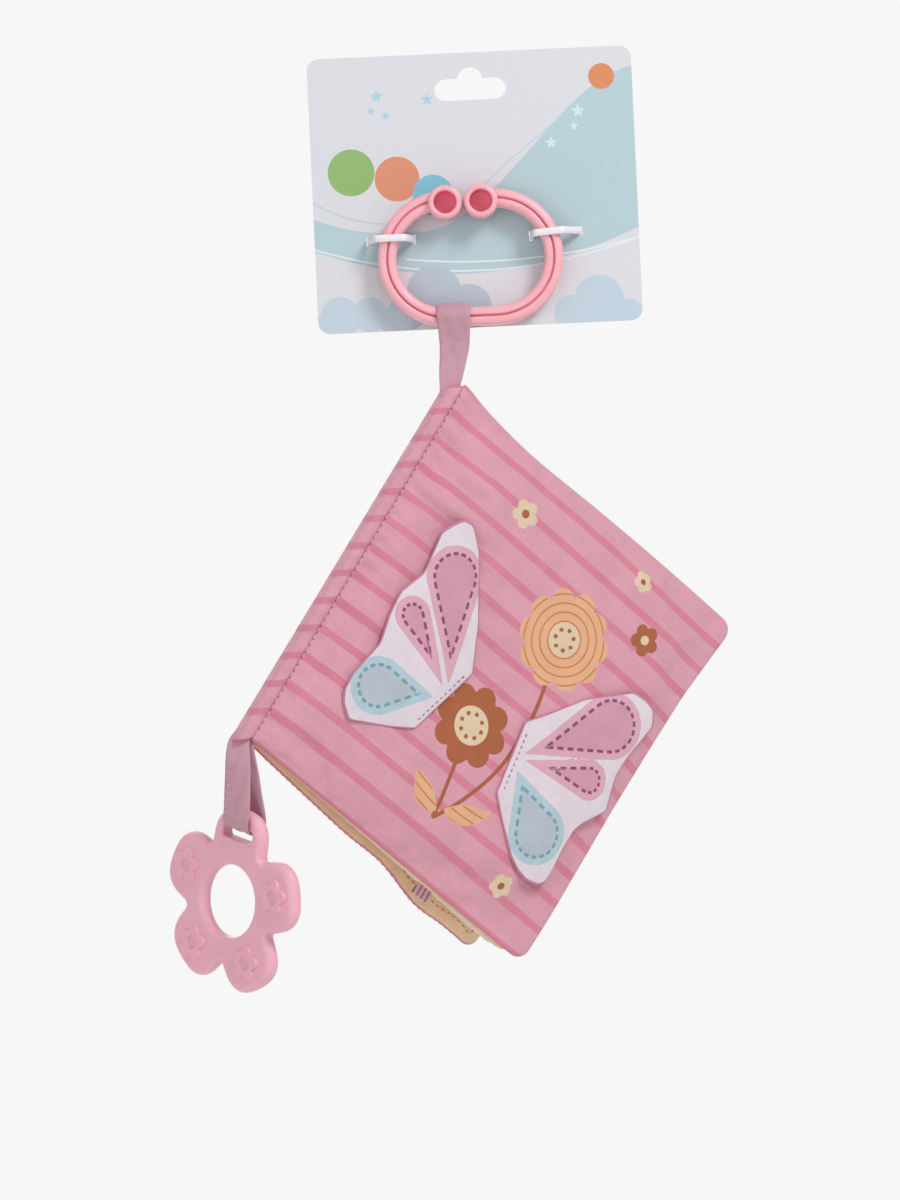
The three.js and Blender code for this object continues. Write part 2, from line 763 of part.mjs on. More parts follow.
function squeakerHole() {
  const radius = squeakerDiameter / 2 + squeakerGap;
  const length = coverCrown + liningCrown + 2 * edgeThickness + 2 * overrun;
  const hole = new THREE.CylinderGeometry(radius, radius, length, 24);
  hole.translate(squeakerX, squeakerY, squeakerZ);
  return hole;
}
place(frontCover, "front_outer_panel", boardLayer(coverFace, offset(coverFace, clothThickness)), coverColour);
place(
  frontCover,
  "front_batting",
  cut(boardLayer(frontBattingFront, frontBattingBack, innerStart), squeakerHole()),
  paddingColour,
);
place(frontCover, "front_crinkle_film", boardLayer(frontFilmFront, frontFilmBack, innerStart), filmColour, 0.3);
place(frontCover, "front_lining", boardLayer(offset(liningFace, -clothThickness), liningFace), creamColour);

// Squeaker: a flat drum with a reed plugged into one face.
function squeakerCase() {
  const r = squeakerDiameter / 2;
  const h = squeakerHeight / 2;
  const e = squeakerRounding;
  const pocket = reedDiameter / 2 + seatGap;
  const profile = [
    [0, -h], [r - e, -h], [r, -h + e], [r, h - e], [r - e, h],
    [pocket, h], [pocket, h - reedHeight - seatGap], [0, h - reedHeight - seatGap],
  ];
  return new THREE.LatheGeometry(profile.map(([x, y]) => new THREE.Vector2(x, y)), 24);
}

function squeakerReed() {
  const outer = reedDiameter / 2;
  const bore = reedBore / 2;
  const h = reedHeight / 2;
  const profile = [[bore, -h], [outer, -h], [outer, h], [bore, h], [bore, -h]];
  return new THREE.LatheGeometry(profile.map(([x, y]) => new THREE.Vector2(x, y)), 16);
}
place(frontCover, "squeaker_case", squeakerCase(), squeakerColour, 0.4)
  .position.set(squeakerX, squeakerY, squeakerZ);
place(frontCover, "squeaker_reed", squeakerReed(), squeakerColour, 0.4)
  .position.set(squeakerX, squeakerY + squeakerHeight / 2 - reedHeight / 2, squeakerZ);

// Inner leaf
const leafShape = { corner: leafCorner, inset: leafInset };
const leafInside = { ...leafShape, first: inner };
const innerLeaf = boardGroup(book, leafMiddle, leafFan);
const leafFront = (i, j) => -edgeHalf - leafFrontCrown * swellIn(i, j);
const leafBack = (i, j) => edgeHalf + leafBackCrown * swellIn(i, j);
place(
  innerLeaf,
  "inner_leaf_front_panel",
  boardLayer(leafFront, offset(leafFront, clothThickness), leafShape),
  creamColour,
);
place(
  innerLeaf,
  "inner_leaf_batting",
  boardLayer(
    offset(leafFront, clothThickness + layerGap),
    offset(leafBack, -clothThickness - layerGap),
    leafInside,
  ),
  paddingColour,
);
place(
  innerLeaf,
  "inner_leaf_back_panel",
  boardLayer(offset(leafBack, -clothThickness), leafBack, leafShape),
  creamColour,
);

// Mirror leaf: a flat front panel with a round window, the mirror film behind it, a backing and a back panel.
const mirrorLeaf = boardGroup(book, mirrorMiddle, mirrorFan);
const mirrorFront = () => -mirrorHalf;
const mirrorBack = (i, j) => mirrorHalf + mirrorBackCrown * swellOut(i, j);
const filmFront = -mirrorHalf + clothThickness + layerGap;
const mirrorX = mirrorPlaceShare * ((bottomWidth + topWidth) / 2 - leafInset);
const mirrorZ = mirrorPlaceShare * seamLength - foreDrop / 2;
const backingStep = mirrorThickness + layerGap;
const backingFront = (i, j) => {
  const border = Math.min(i, j, last - i, last - j) === inner;
  return filmFront + (border ? 0 : backingStep);
};

function disc(diameter, front, back, segments) {
  const radius = diameter / 2;
  const made = new THREE.CylinderGeometry(radius, radius, back - front, segments);
  made.translate(mirrorX, (front + back) / 2, mirrorZ);
  return made;
}
place(
  mirrorLeaf,
  "mirror_leaf_front_panel",
  cut(
    boardLayer(mirrorFront, offset(mirrorFront, clothThickness), leafShape),
    disc(mirrorWindow, -mirrorHalf - overrun, filmFront, 32),
  ),
  whiteColour,
);
place(
  mirrorLeaf,
  "mirror_film",
  disc(mirrorDiameter, filmFront, filmFront + mirrorThickness, 32),
  mirrorColour,
  0.05,
).material.metalness = 0.9;
place(
  mirrorLeaf,
  "mirror_leaf_backing",
  boardLayer(backingFront, offset(mirrorBack, -clothThickness - layerGap), leafInside),
  paddingColour,
);
place(
  mirrorLeaf,
  "mirror_leaf_back_panel",
  boardLayer(offset(mirrorBack, -clothThickness), mirrorBack, leafShape),
  creamColour,
);

function pageTab() {
  const slope = Math.atan2(foreDrop, (bottomWidth + topWidth) / 2);
  const tab = new THREE.BoxGeometry(tabWidth, tabThickness, tabLength);
  tab.translate(0, 0, -tabLength / 2 - seatGap);
  tab.rotateY(slope);
  tab.translate(tabPlaceShare * bottomWidth, 0, leafInset - (foreDrop * tabPlaceShare * bottomWidth) / (bottomWidth - leafInset));
  return tab;
}
place(mirrorLeaf, "page_tab", pageTab(), ribbonColour);

// Back cover
const backCover = boardGroup(book, backMiddle, backFan);
const backLining = (i, j) => -edgeHalf - backLiningCrown * swellIn(i, j);
const backFace = (i, j) => edgeHalf + backCrown * swellOut(i, j);
const backFilmFront = offset(backLining, clothThickness + layerGap);
const backFilmBack = offset(backFilmFront, filmThickness);
place(backCover, "back_lining", boardLayer(backLining, offset(backLining, clothThickness)), creamColour);
place(backCover, "back_crinkle_film", boardLayer(backFilmFront, backFilmBack, innerStart), filmColour, 0.3);
place(
  backCover,
  "back_batting",
  boardLayer(offset(backFilmBack, layerGap), offset(backFace, -clothThickness - layerGap), innerStart),
  paddingColour,
);
place(backCover, "back_outer_panel", boardLayer(offset(backFace, -clothThickness), backFace), coverColour);

// The front cover's swell at any place in its plane.
function coverSwell(x, z) {
  const look = (shares, share) => {
    const t = THREE.MathUtils.clamp(share, 0, 1);
    const next = Math.max(1, gridShares.findIndex((line) => line >= t));
    const [from, to] = [gridShares[next - 1], gridShares[next]];
    return THREE.MathUtils.lerp(shares[next - 1], shares[next], (t - from) / (to - from));
  };
  const across = x / ((bottomWidth + topWidth) / 2);
  const up = (z + foreDrop * across) / seamLength;
  return look(outerSwellShares, across) * look(heightSwellShares, up);
}

// A flap's layer: rings from its outline to its centre, between two surfaces.
function flapLayer(flap, front, back, first) {
  const rings = [];
  for (let r = first; r < flapRingShares.length; r++) {
    rings.push(
      flap.outline.map(([out, up]) => {
        const centre = flapCentreShare * flap.span;
        const share = flapRingShares[r];
        return [centre + share * (out * flap.span - centre), share * up * flap.height, r];
      }),
    );
  }
  const flat = [...rings.flat(), [flapCentreShare * flap.span, 0, flapRingShares.length]];
  const points = [];
  for (const depth of [front, back]) {
    for (const [out, up, ring] of flat) points.push([flap.side * out, depth(out, up, ring), up]);
  }
  const n = flap.outline.length;
  const half = flat.length;
  const triangles = [];
  for (let r = 0; r < rings.length; r++) {
    for (let i = 0; i < n; i++) {
      const j = (i + 1) % n;
      const [p, q] = [r * n + i, r * n + j];
      if (r < rings.length - 1) {
        triangles.push([p, q, q + n], [p, q + n, p + n]);
        triangles.push([half + p, half + q + n, half + q], [half + p, half + p + n, half + q + n]);
      } else {
        triangles.push([p, q, half - 1], [half + p, half + half - 1, half + q]);
      }
      if (r === 0) triangles.push([q, p, half + p], [q, half + p, half + q]);
    }
  }
  return solid(points, triangles);
}

function addFlap(name, flap) {
  const hinge = new THREE.Group();
  hinge.position.set(flap.place[0] - seatGap, 0, flap.place[1]);
  hinge.rotation.y = flap.lean;
  frontCover.add(hinge);
  const back = (out, up) => {
    const x = flap.place[0] + flap.side * out * Math.cos(flap.lean) + up * Math.sin(flap.lean);
    const z = flap.place[1] - flap.side * out * Math.sin(flap.lean) + up * Math.cos(flap.lean);
    const fall = flapDrapeShare * (1 - coverSwell(x, z));
    return -edgeHalf - flapClearance - coverCrown * (1 - fall);
  };
  const front = (out, up, ring) => back(out, up) - edgeThickness - flapCrown * flapSwellShares[ring];
  const shifted = (surface, distance) => (out, up, ring) => surface(out, up, ring) + distance;
  const inside = clothThickness + layerGap;
  place(hinge, name + "_front_panel", flapLayer(flap, front, shifted(front, clothThickness), 0), flapColour);
  place(
    hinge,
    name + "_batting",
    flapLayer(flap, shifted(front, inside), shifted(back, -inside), flapInner),
    paddingColour,
  );
  place(hinge, name + "_back_panel", flapLayer(flap, shifted(back, -clothThickness), back, 0), coverColour);
}
addFlap("left_flap", {
  place: leftFlapPlace,
  lean: leftFlapLean,
  span: leftFlapSpan,
  height: leftFlapHeight,
  outline: leftFlapShares,
  side: -1,
});
addFlap("right_flap", {
  place: rightFlapPlace,
  lean: rightFlapLean,
  span: rightFlapSpan,
  height: rightFlapHeight,
  outline: rightFlapShares,
  side: 1,
});

// Teether and its ribbon
const teetherReach = petalPlace + petalRadius;
const barRadius = teetherReach - teetherBar / 2;
const teetherPose = turned(teetherYaw, teetherRoll);
const teetherBarPoint = spineBottom.clone();
teetherBarPoint.add(new THREE.Vector3(teetherLean[0], teetherLean[1], -teetherHang));

function teetherRibbon() {
  const loop = extrudeAcross(loopShape(teetherLoopRadius, teetherLoopTail, 1), ribbonWidth);
  loop.applyQuaternion(teetherPose);
  const across = new THREE.Vector3(1, 0, 0).applyQuaternion(teetherPose);
  const through = new THREE.Vector3(0, 1, 0).applyQuaternion(teetherPose);
  const tail = new THREE.Vector3(0, 0, teetherLoopTail - ribbonThickness).applyQuaternion(teetherPose);
  const end = spineBottom.clone().sub(teetherBarPoint).addScaledVector(zAxis, -spineEndOff);
  return join(loop, ribbonStrap(tail, across, through, end));
}
place(group, "teether_ribbon", teetherRibbon(), ribbonColour).position.copy(teetherBarPoint);

function petalOutline(steps) {
  const points = [];
  for (let i = 0; i < petals * steps; i++) {
    const within = ((i % steps) / steps - 0.5) * ((2 * Math.PI) / petals);
    const angle = Math.PI / 2 + (Math.floor(i / steps) * 2 * Math.PI) / petals + within;
    const side = petalPlace * Math.sin(within);
    const reach = petalPlace * Math.cos(within) + Math.sqrt(petalRadius ** 2 - side ** 2);
    points.push([reach * Math.cos(angle), reach * Math.sin(angle)]);
  }
  return points;
}

function emblem(angle) {
  const points = [];
  const steps = 20;
  const wave = (emblemRadius - emblemWaist) / 2;
  for (let i = 0; i < steps; i++) {
    const turn = (i * 2 * Math.PI) / steps;
    const reach = emblemWaist + wave + wave * Math.cos(petals * turn);
    points.push([reach * Math.sin(turn), reach * Math.cos(turn)]);
  }
  const shape = drawLoop(new THREE.Shape(), points.reverse());
  const bore = new THREE.Path().absarc(0, 0, emblemBore / 2, 0, 2 * Math.PI);
  shape.holes.push(bore);
  const face = -teetherThickness / 2;
  const made = extrudeDepth(shape, face - emblemRise, face + emblemRise, 4);
  made.translate(emblemPlace * Math.cos(angle), 0, emblemPlace * Math.sin(angle));
  return made;
}

function teether() {
  const outline = petalOutline(10);
  const bore = outline.map(([x, z]) => {
    const scale = teetherBore / 2 / Math.hypot(x, z);
    return [x * scale, z * scale];
  });
  const rounding = [0, 30, 60, 90].map((angle) => ({
    inset: teetherRounding * (1 - Math.sin(angle * degree)),
    depth: teetherThickness / 2 - teetherRounding * (1 - Math.cos(angle * degree)),
  }));
  const ringAt = (loop, inset, depth) => insetLoop(loop, inset).map(([x, z]) => [x, depth, z]);
  const backwards = [...rounding].reverse();
  const rings = [
    ...rounding.map(({ inset, depth }) => ringAt(outline, inset, -depth)),
    ...backwards.map(({ inset, depth }) => ringAt(outline, inset, depth)),
    ...rounding.map(({ inset, depth }) => ringAt(bore, -inset, depth)),
    ...backwards.map(({ inset, depth }) => ringAt(bore, -inset, -depth)),
  ];
  const slotShape = roundedRectangle(new THREE.Shape(), teetherSlotWidth, teetherSlotHeight, teetherSlotCorner);
  const reach = teetherThickness / 2 + overrun;
  const slot = extrudeDepth(slotShape, -reach, reach, 3);
  slot.translate(0, 0, teetherReach - teetherBar - teetherSlotHeight / 2);
  const emblems = [];
  for (let i = 1; i < petals; i++) emblems.push(emblem(Math.PI / 2 + (i * 2 * Math.PI) / petals));
  return join(cut(loft(rings, true), slot), ...emblems);
}
const teetherMesh = place(group, "teether", teether(), teetherColour, 0.5);
teetherMesh.quaternion.copy(teetherPose);
teetherMesh.position.set(0, 0, -barRadius).applyQuaternion(teetherPose).add(teetherBarPoint);

export default group;
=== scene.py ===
import math

import bmesh
import bpy
import numpy as np
from mathutils import Matrix, Vector


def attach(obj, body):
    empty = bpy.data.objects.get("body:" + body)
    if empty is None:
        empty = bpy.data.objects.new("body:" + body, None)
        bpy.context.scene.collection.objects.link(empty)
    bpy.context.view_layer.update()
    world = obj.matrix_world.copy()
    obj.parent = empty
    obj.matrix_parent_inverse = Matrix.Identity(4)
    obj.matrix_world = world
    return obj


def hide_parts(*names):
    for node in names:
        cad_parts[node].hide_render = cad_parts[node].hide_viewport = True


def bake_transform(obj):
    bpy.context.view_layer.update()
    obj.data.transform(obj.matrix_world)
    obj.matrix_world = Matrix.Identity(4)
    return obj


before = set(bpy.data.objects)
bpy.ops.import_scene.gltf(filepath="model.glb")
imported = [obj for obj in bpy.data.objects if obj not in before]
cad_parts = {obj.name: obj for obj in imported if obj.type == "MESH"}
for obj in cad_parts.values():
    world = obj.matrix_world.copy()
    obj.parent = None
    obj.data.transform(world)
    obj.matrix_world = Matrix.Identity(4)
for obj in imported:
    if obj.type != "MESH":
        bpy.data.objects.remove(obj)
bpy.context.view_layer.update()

scene = bpy.context.scene
print("frame loaded")

millimetre = 0.001


# An sRGB hex colour as linear red, green, blue and alpha.
def linear(colour):
    parts = [int(colour[i : i + 2], 16) / 255 for i in (1, 3, 5)]
    return tuple(c / 12.92 if c <= 0.04045 else ((c + 0.055) / 1.055) ** 2.4 for c in parts) + (1,)


# Adds a node, sets its properties, and links or sets its inputs; gives back one output.
# A kind may end in its operation, as in "Math MULTIPLY".
def add(tree, kind, *values, out=0, named=None, **settings):
    kind, _, operation = kind.partition(" ")
    node = tree.nodes.new("ShaderNode" + kind)
    if operation:
        node.operation = operation
    for key, value in settings.items():
        setattr(node, key, value)
    for key, value in list(enumerate(values)) + list((named or {}).items()):
        if isinstance(value, bpy.types.NodeSocket):
            tree.links.new(value, node.inputs[key])
        elif value is not None:
            node.inputs[key].default_value = value
    return node.outputs[out] if node.outputs else None


def newMaterial(name):
    material = bpy.data.materials.new(name)
    material.use_nodes = True
    material.node_tree.nodes.clear()
    return material, material.node_tree


# Turns a profile once round an axis that runs through depth, and closes it.
def spinRound(bm, geom, centre, steps):
    bmesh.ops.spin(
        bm, geom=geom, cent=centre, axis=(0, 1, 0), dvec=(0, 0, 0), angle=2 * math.pi, steps=steps,
        use_merge=True, use_duplicate=False,
    )


# Ends a material: a Principled surface with its own values, and a bump if there is one.
def surface(tree, colour, roughness, height=None, bump=0.0, **own):
    named = {"Base Color": colour, "Roughness": roughness}
    named.update({key.replace("_", " "): value for key, value in own.items()})
    if height is not None:
        named["Normal"] = add(tree, "Bump", named={"Strength": 1.0, "Distance": bump, "Height": height})
    add(tree, "OutputMaterial", add(tree, "BsdfPrincipled", named=named))


def link(name, data):
    made = bpy.data.objects.new(name, data)
    scene.collection.objects.link(made)
    return made


# Puts a mesh built in a piece's own millimetres in its place, and makes it an object.
def settle(bm, name, place, materials, body=None):
    bm.transform(place @ Matrix.Scale(millimetre, 4))
    mesh = bpy.data.meshes.new(name)
    bm.to_mesh(mesh)
    bm.free()
    for material in materials:
        mesh.materials.append(material)
    mesh.shade_smooth()
    made = link(name, mesh)
    if body:
        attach(made, body)
    return made


# Moves a created grid onto rows of points; closed ways are merged, open ends are filled.
def skin(bm, rows, around=True, along=False, flat=None, material=0):
    rows = np.asarray(rows, float)
    m, n = rows.shape[:2]
    nx, ny = n if around else n - 1, m if along else m - 1
    made = bmesh.ops.create_grid(bm, x_segments=nx, y_segments=ny, size=0.5)["verts"]
    layer = bm.verts.layers.float_vector.get("flat") if flat is not None else None
    for v in made:
        i, j = round((v.co.x + 0.5) * nx) % n, round((v.co.y + 0.5) * ny) % m
        v.co = rows[j][i]
        if layer is not None:
            v[layer] = flat[j][i]
    faces = {f for v in made for f in v.link_faces}
    for f in faces:
        f.material_index = material
    bmesh.ops.remove_doubles(bm, verts=made, dist=1e-4)
    faces = [f for f in faces if f.is_valid]
    if around and not along:
        rim = {e for f in faces for e in f.edges if e.is_boundary}
        faces += bmesh.ops.holes_fill(bm, edges=list(rim), sides=0)["faces"]
        for f in faces:
            f.material_index = material
    if around:
        bmesh.ops.recalc_face_normals(bm, faces=faces)
    return faces


# Joins points by edges, round to the first where closed; gives back vertices and edges for a spin.
def chain(bm, points, closed=True):
    verts = [bm.verts.new(p) for p in points]
    ends = verts[1:] + verts[:1] if closed else verts[1:]
    return verts + [bm.edges.new(pair) for pair in zip(verts, ends)]


# How far along a line each of its points lies.
def runAlong(points):
    return np.concatenate([[0], np.cumsum(np.linalg.norm(np.diff(points, axis=0), axis=1))])


# The direction across a closed line at each of its points.
def sideways(loop):
    ahead = np.roll(loop, -1, axis=0) - np.roll(loop, 1, axis=0)
    ahead /= np.linalg.norm(ahead, axis=1)[:, None]
    return np.stack([-ahead[:, 1], ahead[:, 0]], -1)


def smoothed(loop, rounds):
    for _ in range(rounds):
        loop = 0.5 * loop + 0.25 * (np.roll(loop, 1, axis=0) + np.roll(loop, -1, axis=0))
    return loop


# A closed line through points, evenly spaced and rounded a little where it turns.
def evenLoop(points, count, rounds):
    p = np.asarray(points, float)
    q = np.vstack([p, p[:1]])
    run = runAlong(q)
    t = np.linspace(0, run[-1], count, endpoint=False)
    return smoothed(np.stack([np.interp(t, run, q[:, k]) for k in range(2)], axis=-1), rounds)


# The four corners of a rectangle: each arc's centre, and the direction out from it.
def cornerArcs(halfWidth, halfHeight):
    arcs = []
    for sx, sy, start in ((1, -1, -90), (1, 1, 0), (-1, 1, 90), (-1, -1, 180)):
        for step in range(0, 91, 15):
            angle = math.radians(start + step)
            arcs.append((sx * halfWidth, sy * halfHeight, math.cos(angle), math.sin(angle)))
    return arcs


# An empty mesh whose points can hold their place on the unfolded cloth.
def newMesh():
    bm = bmesh.new()
    bm.verts.layers.float_vector.new("flat")
    return bm


# Shares along a board, joined by a smooth curve that doesn't overshoot.
boardShares = {
    "grid": [0, 0.012, 0.04, 0.1, 0.25, 0.5, 0.75, 0.9, 0.96, 0.988, 1],
    "outerSwell": [0, 0.07, 0.22, 0.58, 0.94, 1, 0.97, 0.72, 0.36, 0.13, 0],
    "innerSwell": [0, 0.02, 0.07, 0.2, 0.52, 0.95, 1, 0.76, 0.4, 0.14, 0],
    "heightSwell": [0, 0.15, 0.42, 0.76, 0.97, 1, 0.97, 0.76, 0.42, 0.15, 0],
    "topDraw": [0, 0.05, 0.25, 0.65, 1, 0.55, 0.25, 0.2, 0.2, 0.2, 0.2],
    "foreDraw": [0, 0, 0, 0, 0.3, 0.85, 1, 0.45, 0.15, 0.05, 0],
}


def alongBoard(name, t):
    knots, values = np.array(boardShares["grid"]), np.array(boardShares[name], float)
    slope = np.diff(values) / np.diff(knots)
    tangent = np.zeros(len(knots))
    product = slope[:-1] * slope[1:]
    total = np.where(product > 0, slope[:-1] + slope[1:], 1)
    tangent[1:-1] = np.where(product > 0, 2 * product / total, 0)
    tangent[0], tangent[-1] = slope[0], slope[-1]
    t = np.clip(np.asarray(t, float), 0, 1)
    spot = np.clip(np.searchsorted(knots, t, side="right") - 1, 0, len(knots) - 2)
    gap = knots[spot + 1] - knots[spot]
    s = (t - knots[spot]) / gap
    return (
        values[spot] * (1 + 2 * s) * (1 - s) ** 2
        + tangent[spot] * gap * s * (1 - s) ** 2
        + values[spot + 1] * s * s * (3 - 2 * s)
        + tangent[spot + 1] * gap * s * s * (s - 1)
    )


# Book: the same sizes and place as the solids, in millimetres.
book = {
    "origin": (-76.402, -47.938, -234.445),
    "yaw": 28.3,
    "roll": 33.9,
    "seamLength": 152,
    "bottomWidth": 135.7,
    "topWidth": 143.7,
    "foreDrop": 8.5,
    "foreDrawIn": 2.3,
    "topDrawIn": 3.2,
    "gap": 0.3,
    "edge": 1.5,
    "mirrorEdge": 1.8,
    "bandWidth": 4.8,
    "bandDepth": 7.2,
    "bandSlant": 4,
}
bookTurn = Matrix.Rotation(math.radians(book["yaw"]), 4, "Z") @ Matrix.Rotation(math.radians(book["roll"]), 4, "Y")
bookPlace = Matrix.Translation(Vector(book["origin"]) * millimetre) @ bookTurn
gap, edge = book["gap"], book["edge"]
half = edge / 2


def boardPlace(middle, fan):
    shift = Vector((gap, middle, 0)) * millimetre
    return bookPlace @ Matrix.Translation(shift) @ Matrix.Rotation(math.radians(fan), 4, "Z")


# Where shares a and b of a board lie in its plane.
def boardPlan(a, b, corner, inset):
    width = book["bottomWidth"] + (book["topWidth"] - book["bottomWidth"]) * b
    width = width - book["foreDrawIn"] * alongBoard("foreDraw", b) - inset
    tall = book["seamLength"] - book["topDrawIn"] * alongBoard("topDraw", a) - 2 * inset
    x, z = a * width, b * tall
    nearTop = b > 0.5
    beside, above = width - x, np.where(nearTop, tall - z, z)
    u, v = np.clip(1 - beside / corner, 0, 1), np.clip(1 - above / corner, 0, 1)
    pull = np.maximum(u, v) / np.maximum(np.hypot(u, v), 1e-6)
    inCorner = (beside < corner) & (above < corner)
    x = np.where(inCorner, width - corner * (1 - u * pull), x)
    off = corner * (1 - v * pull)
    z = np.where(inCorner, np.where(nearTop, tall - off, off), z)
    return x, inset + z - book["foreDrop"] * a


# Camera: 900 by 1200 frame, 3575 pixels of focal length, looking along +Y.
camera = {"place": (-7.27, -1300, -185.8), "focal": 3575, "frameHeight": 1200}
cameraData = bpy.data.cameras.new("camera")
cameraData.sensor_width = 36
cameraData.lens = camera["focal"] / camera["frameHeight"] * cameraData.sensor_width
cameraData.clip_start, cameraData.clip_end = 0.1, 20
cameraObject = link("camera", cameraData)
cameraObject.location = Vector(camera["place"]) * millimetre
cameraObject.rotation_euler = (math.pi / 2, 0, 0)
scene.camera = cameraObject
print("camera set")


# Woven polyester: fine plain threads that scatter light softly, with a faint fuzz at grazing angles, and painted
# shade and highlight on its soft creases.
def clothMaterial(name, paint, thread=0.55, fuzz=0.2, relief=0.00013):
    material, tree = newMaterial(name)
    flat = add(tree, "Attribute", out=1, attribute_name="flat")
    parts = add(tree, "SeparateXYZ", flat).node
    # threads are drawn at about twice their real 0.25 mm spacing, so that they show
    waves = []
    for axis in (0, 2):
        turns = add(tree, "Math MULTIPLY", parts.outputs[axis], 2 * math.pi / thread)
        waves.append(add(tree, "Math SINE", turns))
    weave = add(tree, "Math MULTIPLY", *waves)
    grain = add(tree, "TexNoise", flat, named={"Scale": 1.3, "Detail": 4.0, "Roughness": 0.65})
    creases = add(tree, "TexNoise", flat, named={"Scale": 0.09, "Detail": 3.0, "Roughness": 0.55})
    shade = add(tree, "MapRange", grain, 0.3, 0.7, 0.93, 1.05)
    # painted shade and highlight on the creases: the cloth is darker where the crease noise is low and lighter where
    # it is high, in step with the crease bump
    creaseShade = add(tree, "MapRange", creases, 0.35, 0.65, 0.955, 1.035)
    tone = add(tree, "Math MULTIPLY", shade, creaseShade)
    tinted = add(tree, "HueSaturation", named={"Value": tone, "Color": paint(tree, flat, parts)})
    fine = add(tree, "Math MULTIPLY", weave, 0.35)
    deep = add(tree, "Math MULTIPLY", creases, 6.0)
    height = add(tree, "Math ADD", add(tree, "Math ADD", fine, grain), deep)
    surface(
        tree, tinted, 0.88, height, relief,
        Sheen_Weight=fuzz, Sheen_Roughness=0.5, Specular_IOR_Level=0.25,
    )
    return material


def plainPaint(colour):
    return lambda tree, flat, parts: linear(colour)


# Lays colours over a ground, each where its mask is one.
def layOver(tree, ground, masks):
    for mask, colour in masks:
        ground = add(tree, "Mix", mask, data_type="RGBA", out=2, named={6: ground, 7: linear(colour)})
    return ground


# Lays inks over a ground, each where its own field is below nought.
def layInks(tree, ground, fields):
    masks = []
    for field, ink in fields:
        away = add(tree, "Attribute", out=2, attribute_name=field)
        masks.append((add(tree, "Math LESS_THAN", away, 0.0), inks[ink]))
    return layOver(tree, ground, masks)


# Cover cloth: pink ground with darker stripes across the spine and a band along the lower edge.
stripes = {"first": 11.9, "pitch": 11.73, "width": 3.0, "lean": 0.055, "edgeBand": 0.4}
inks = {
    "ground": "#DFA1B1", "stripe": "#DB869B", "peach": "#E7B48C", "orange": "#D97B45", "rust": "#AE6440",
    "cream": "#E5CDAE", "lilac": "#E6DAE2", "rose": "#D69BAF", "roseRim": "#DFABBD", "plum": "#8E4F6C",
    "sky": "#B9C3CF", "skyRim": "#B6CDD8", "teal": "#77A5AB",
}


def stripedPaint(tree, flat, parts):
    x, z = parts.outputs[0], parts.outputs[2]
    level = add(tree, "Math MULTIPLY_ADD", x, stripes["lean"], z)
    start = stripes["first"] - stripes["pitch"] / 2
    shifted = add(tree, "Math SUBTRACT", level, start)
    within = add(tree, "Math FLOORED_MODULO", shifted, stripes["pitch"])
    off = add(tree, "Math SUBTRACT", within, stripes["pitch"] / 2)
    near = add(tree, "Math LESS_THAN", add(tree, "Math ABSOLUTE", off), stripes["width"] / 2)
    inside = add(tree, "Math GREATER_THAN", shifted, 0.0)
    below = add(tree, "Math LESS_THAN", level, stripes["edgeBand"])
    mask = add(tree, "Math MAXIMUM", add(tree, "Math MULTIPLY", near, inside), below)
    return layOver(tree, linear(inks["ground"]), [(mask, inks["stripe"])])


# The cover's printed posy: fields for flat inks, and rings of orange line on the peach bloom.
posy = {
    "peachBloom": {"centre": (83, 97), "petals": 10, "outer": 19, "inner": 15.2, "heart": 6.5},
    "rustBloom": {"centre": (68, 50), "petals": 8, "outer": 15.5, "inner": 11.5, "heart": 7.2},
    "ringPitch": 3.3, "ringWidth": 0.55, "stem": 1.5, "dot": 0.95,
    "smallBlooms": [
        ((44, 126), 5.6, "cream"), ((112, 116), 6.2, "rust"), ((100, 134), 4.2, "cream"), ((112, 9), 4.6, "cream")
    ],
}


def posyPaint(tree, flat, parts):
    ground = layInks(tree, stripedPaint(tree, flat, parts), [("rustPrint", "rust"), ("peachPrint", "peach")])
    centre = posy["peachBloom"]["centre"]
    level = add(tree, "CombineXYZ", parts.outputs[0], 0.0, parts.outputs[2])
    away = add(tree, "VectorMath DISTANCE", level, (centre[0], 0, centre[1]), out=1)
    within = add(tree, "Math FLOORED_MODULO", away, posy["ringPitch"])
    line = add(tree, "Math LESS_THAN", within, posy["ringWidth"])
    peach = add(tree, "Attribute", out=2, attribute_name="peachPrint")
    mask = add(tree, "Math MULTIPLY", line, add(tree, "Math LESS_THAN", peach, -0.3))
    ground = layOver(tree, ground, [(mask, inks["orange"])])
    return layInks(tree, ground, [("creamPrint", "cream"), ("dotPrint", "rust")])


coverCloth = clothMaterial("printed polyester cloth, pink stripes", stripedPaint)
posyCloth = clothMaterial("printed polyester cloth, pink stripes and posy", posyPaint)
creamCloth = clothMaterial("cream polyester cloth", plainPaint("#FCDBB5"))
whiteCloth = clothMaterial("white polyester cloth", plainPaint("#E8E6EA"))
hemCloth = clothMaterial("pink polyester binding", plainPaint("#DDA0B4"))


# Sewing thread: twisted polyester with a slight shine.
def threadMaterial(name, colour):
    material, tree = newMaterial(name)
    place = add(tree, "TexCoord", out=3)
    twist = add(tree, "TexNoise", place, named={"Scale": 4000.0, "Detail": 2.0})
    tone = add(tree, "MapRange", twist, 0.3, 0.7, 0.85, 1.08)
    surface(tree, add(tree, "HueSaturation", named={"Value": tone, "Color": linear(colour)}), 0.55, twist, 0.00003)
    return material


paleThread = threadMaterial("polyester thread, pale pink", "#E3B4C4")
# dark rose dots between the stitches: painted shade in the needle holes
needleHoleShade = threadMaterial("painted shade in needle holes", "#9C5A70")
plumThread = threadMaterial("polyester thread, plum", "#9D6A90")
tanThread = threadMaterial("polyester thread, tan", "#CFA068")
print("cloths mixed")


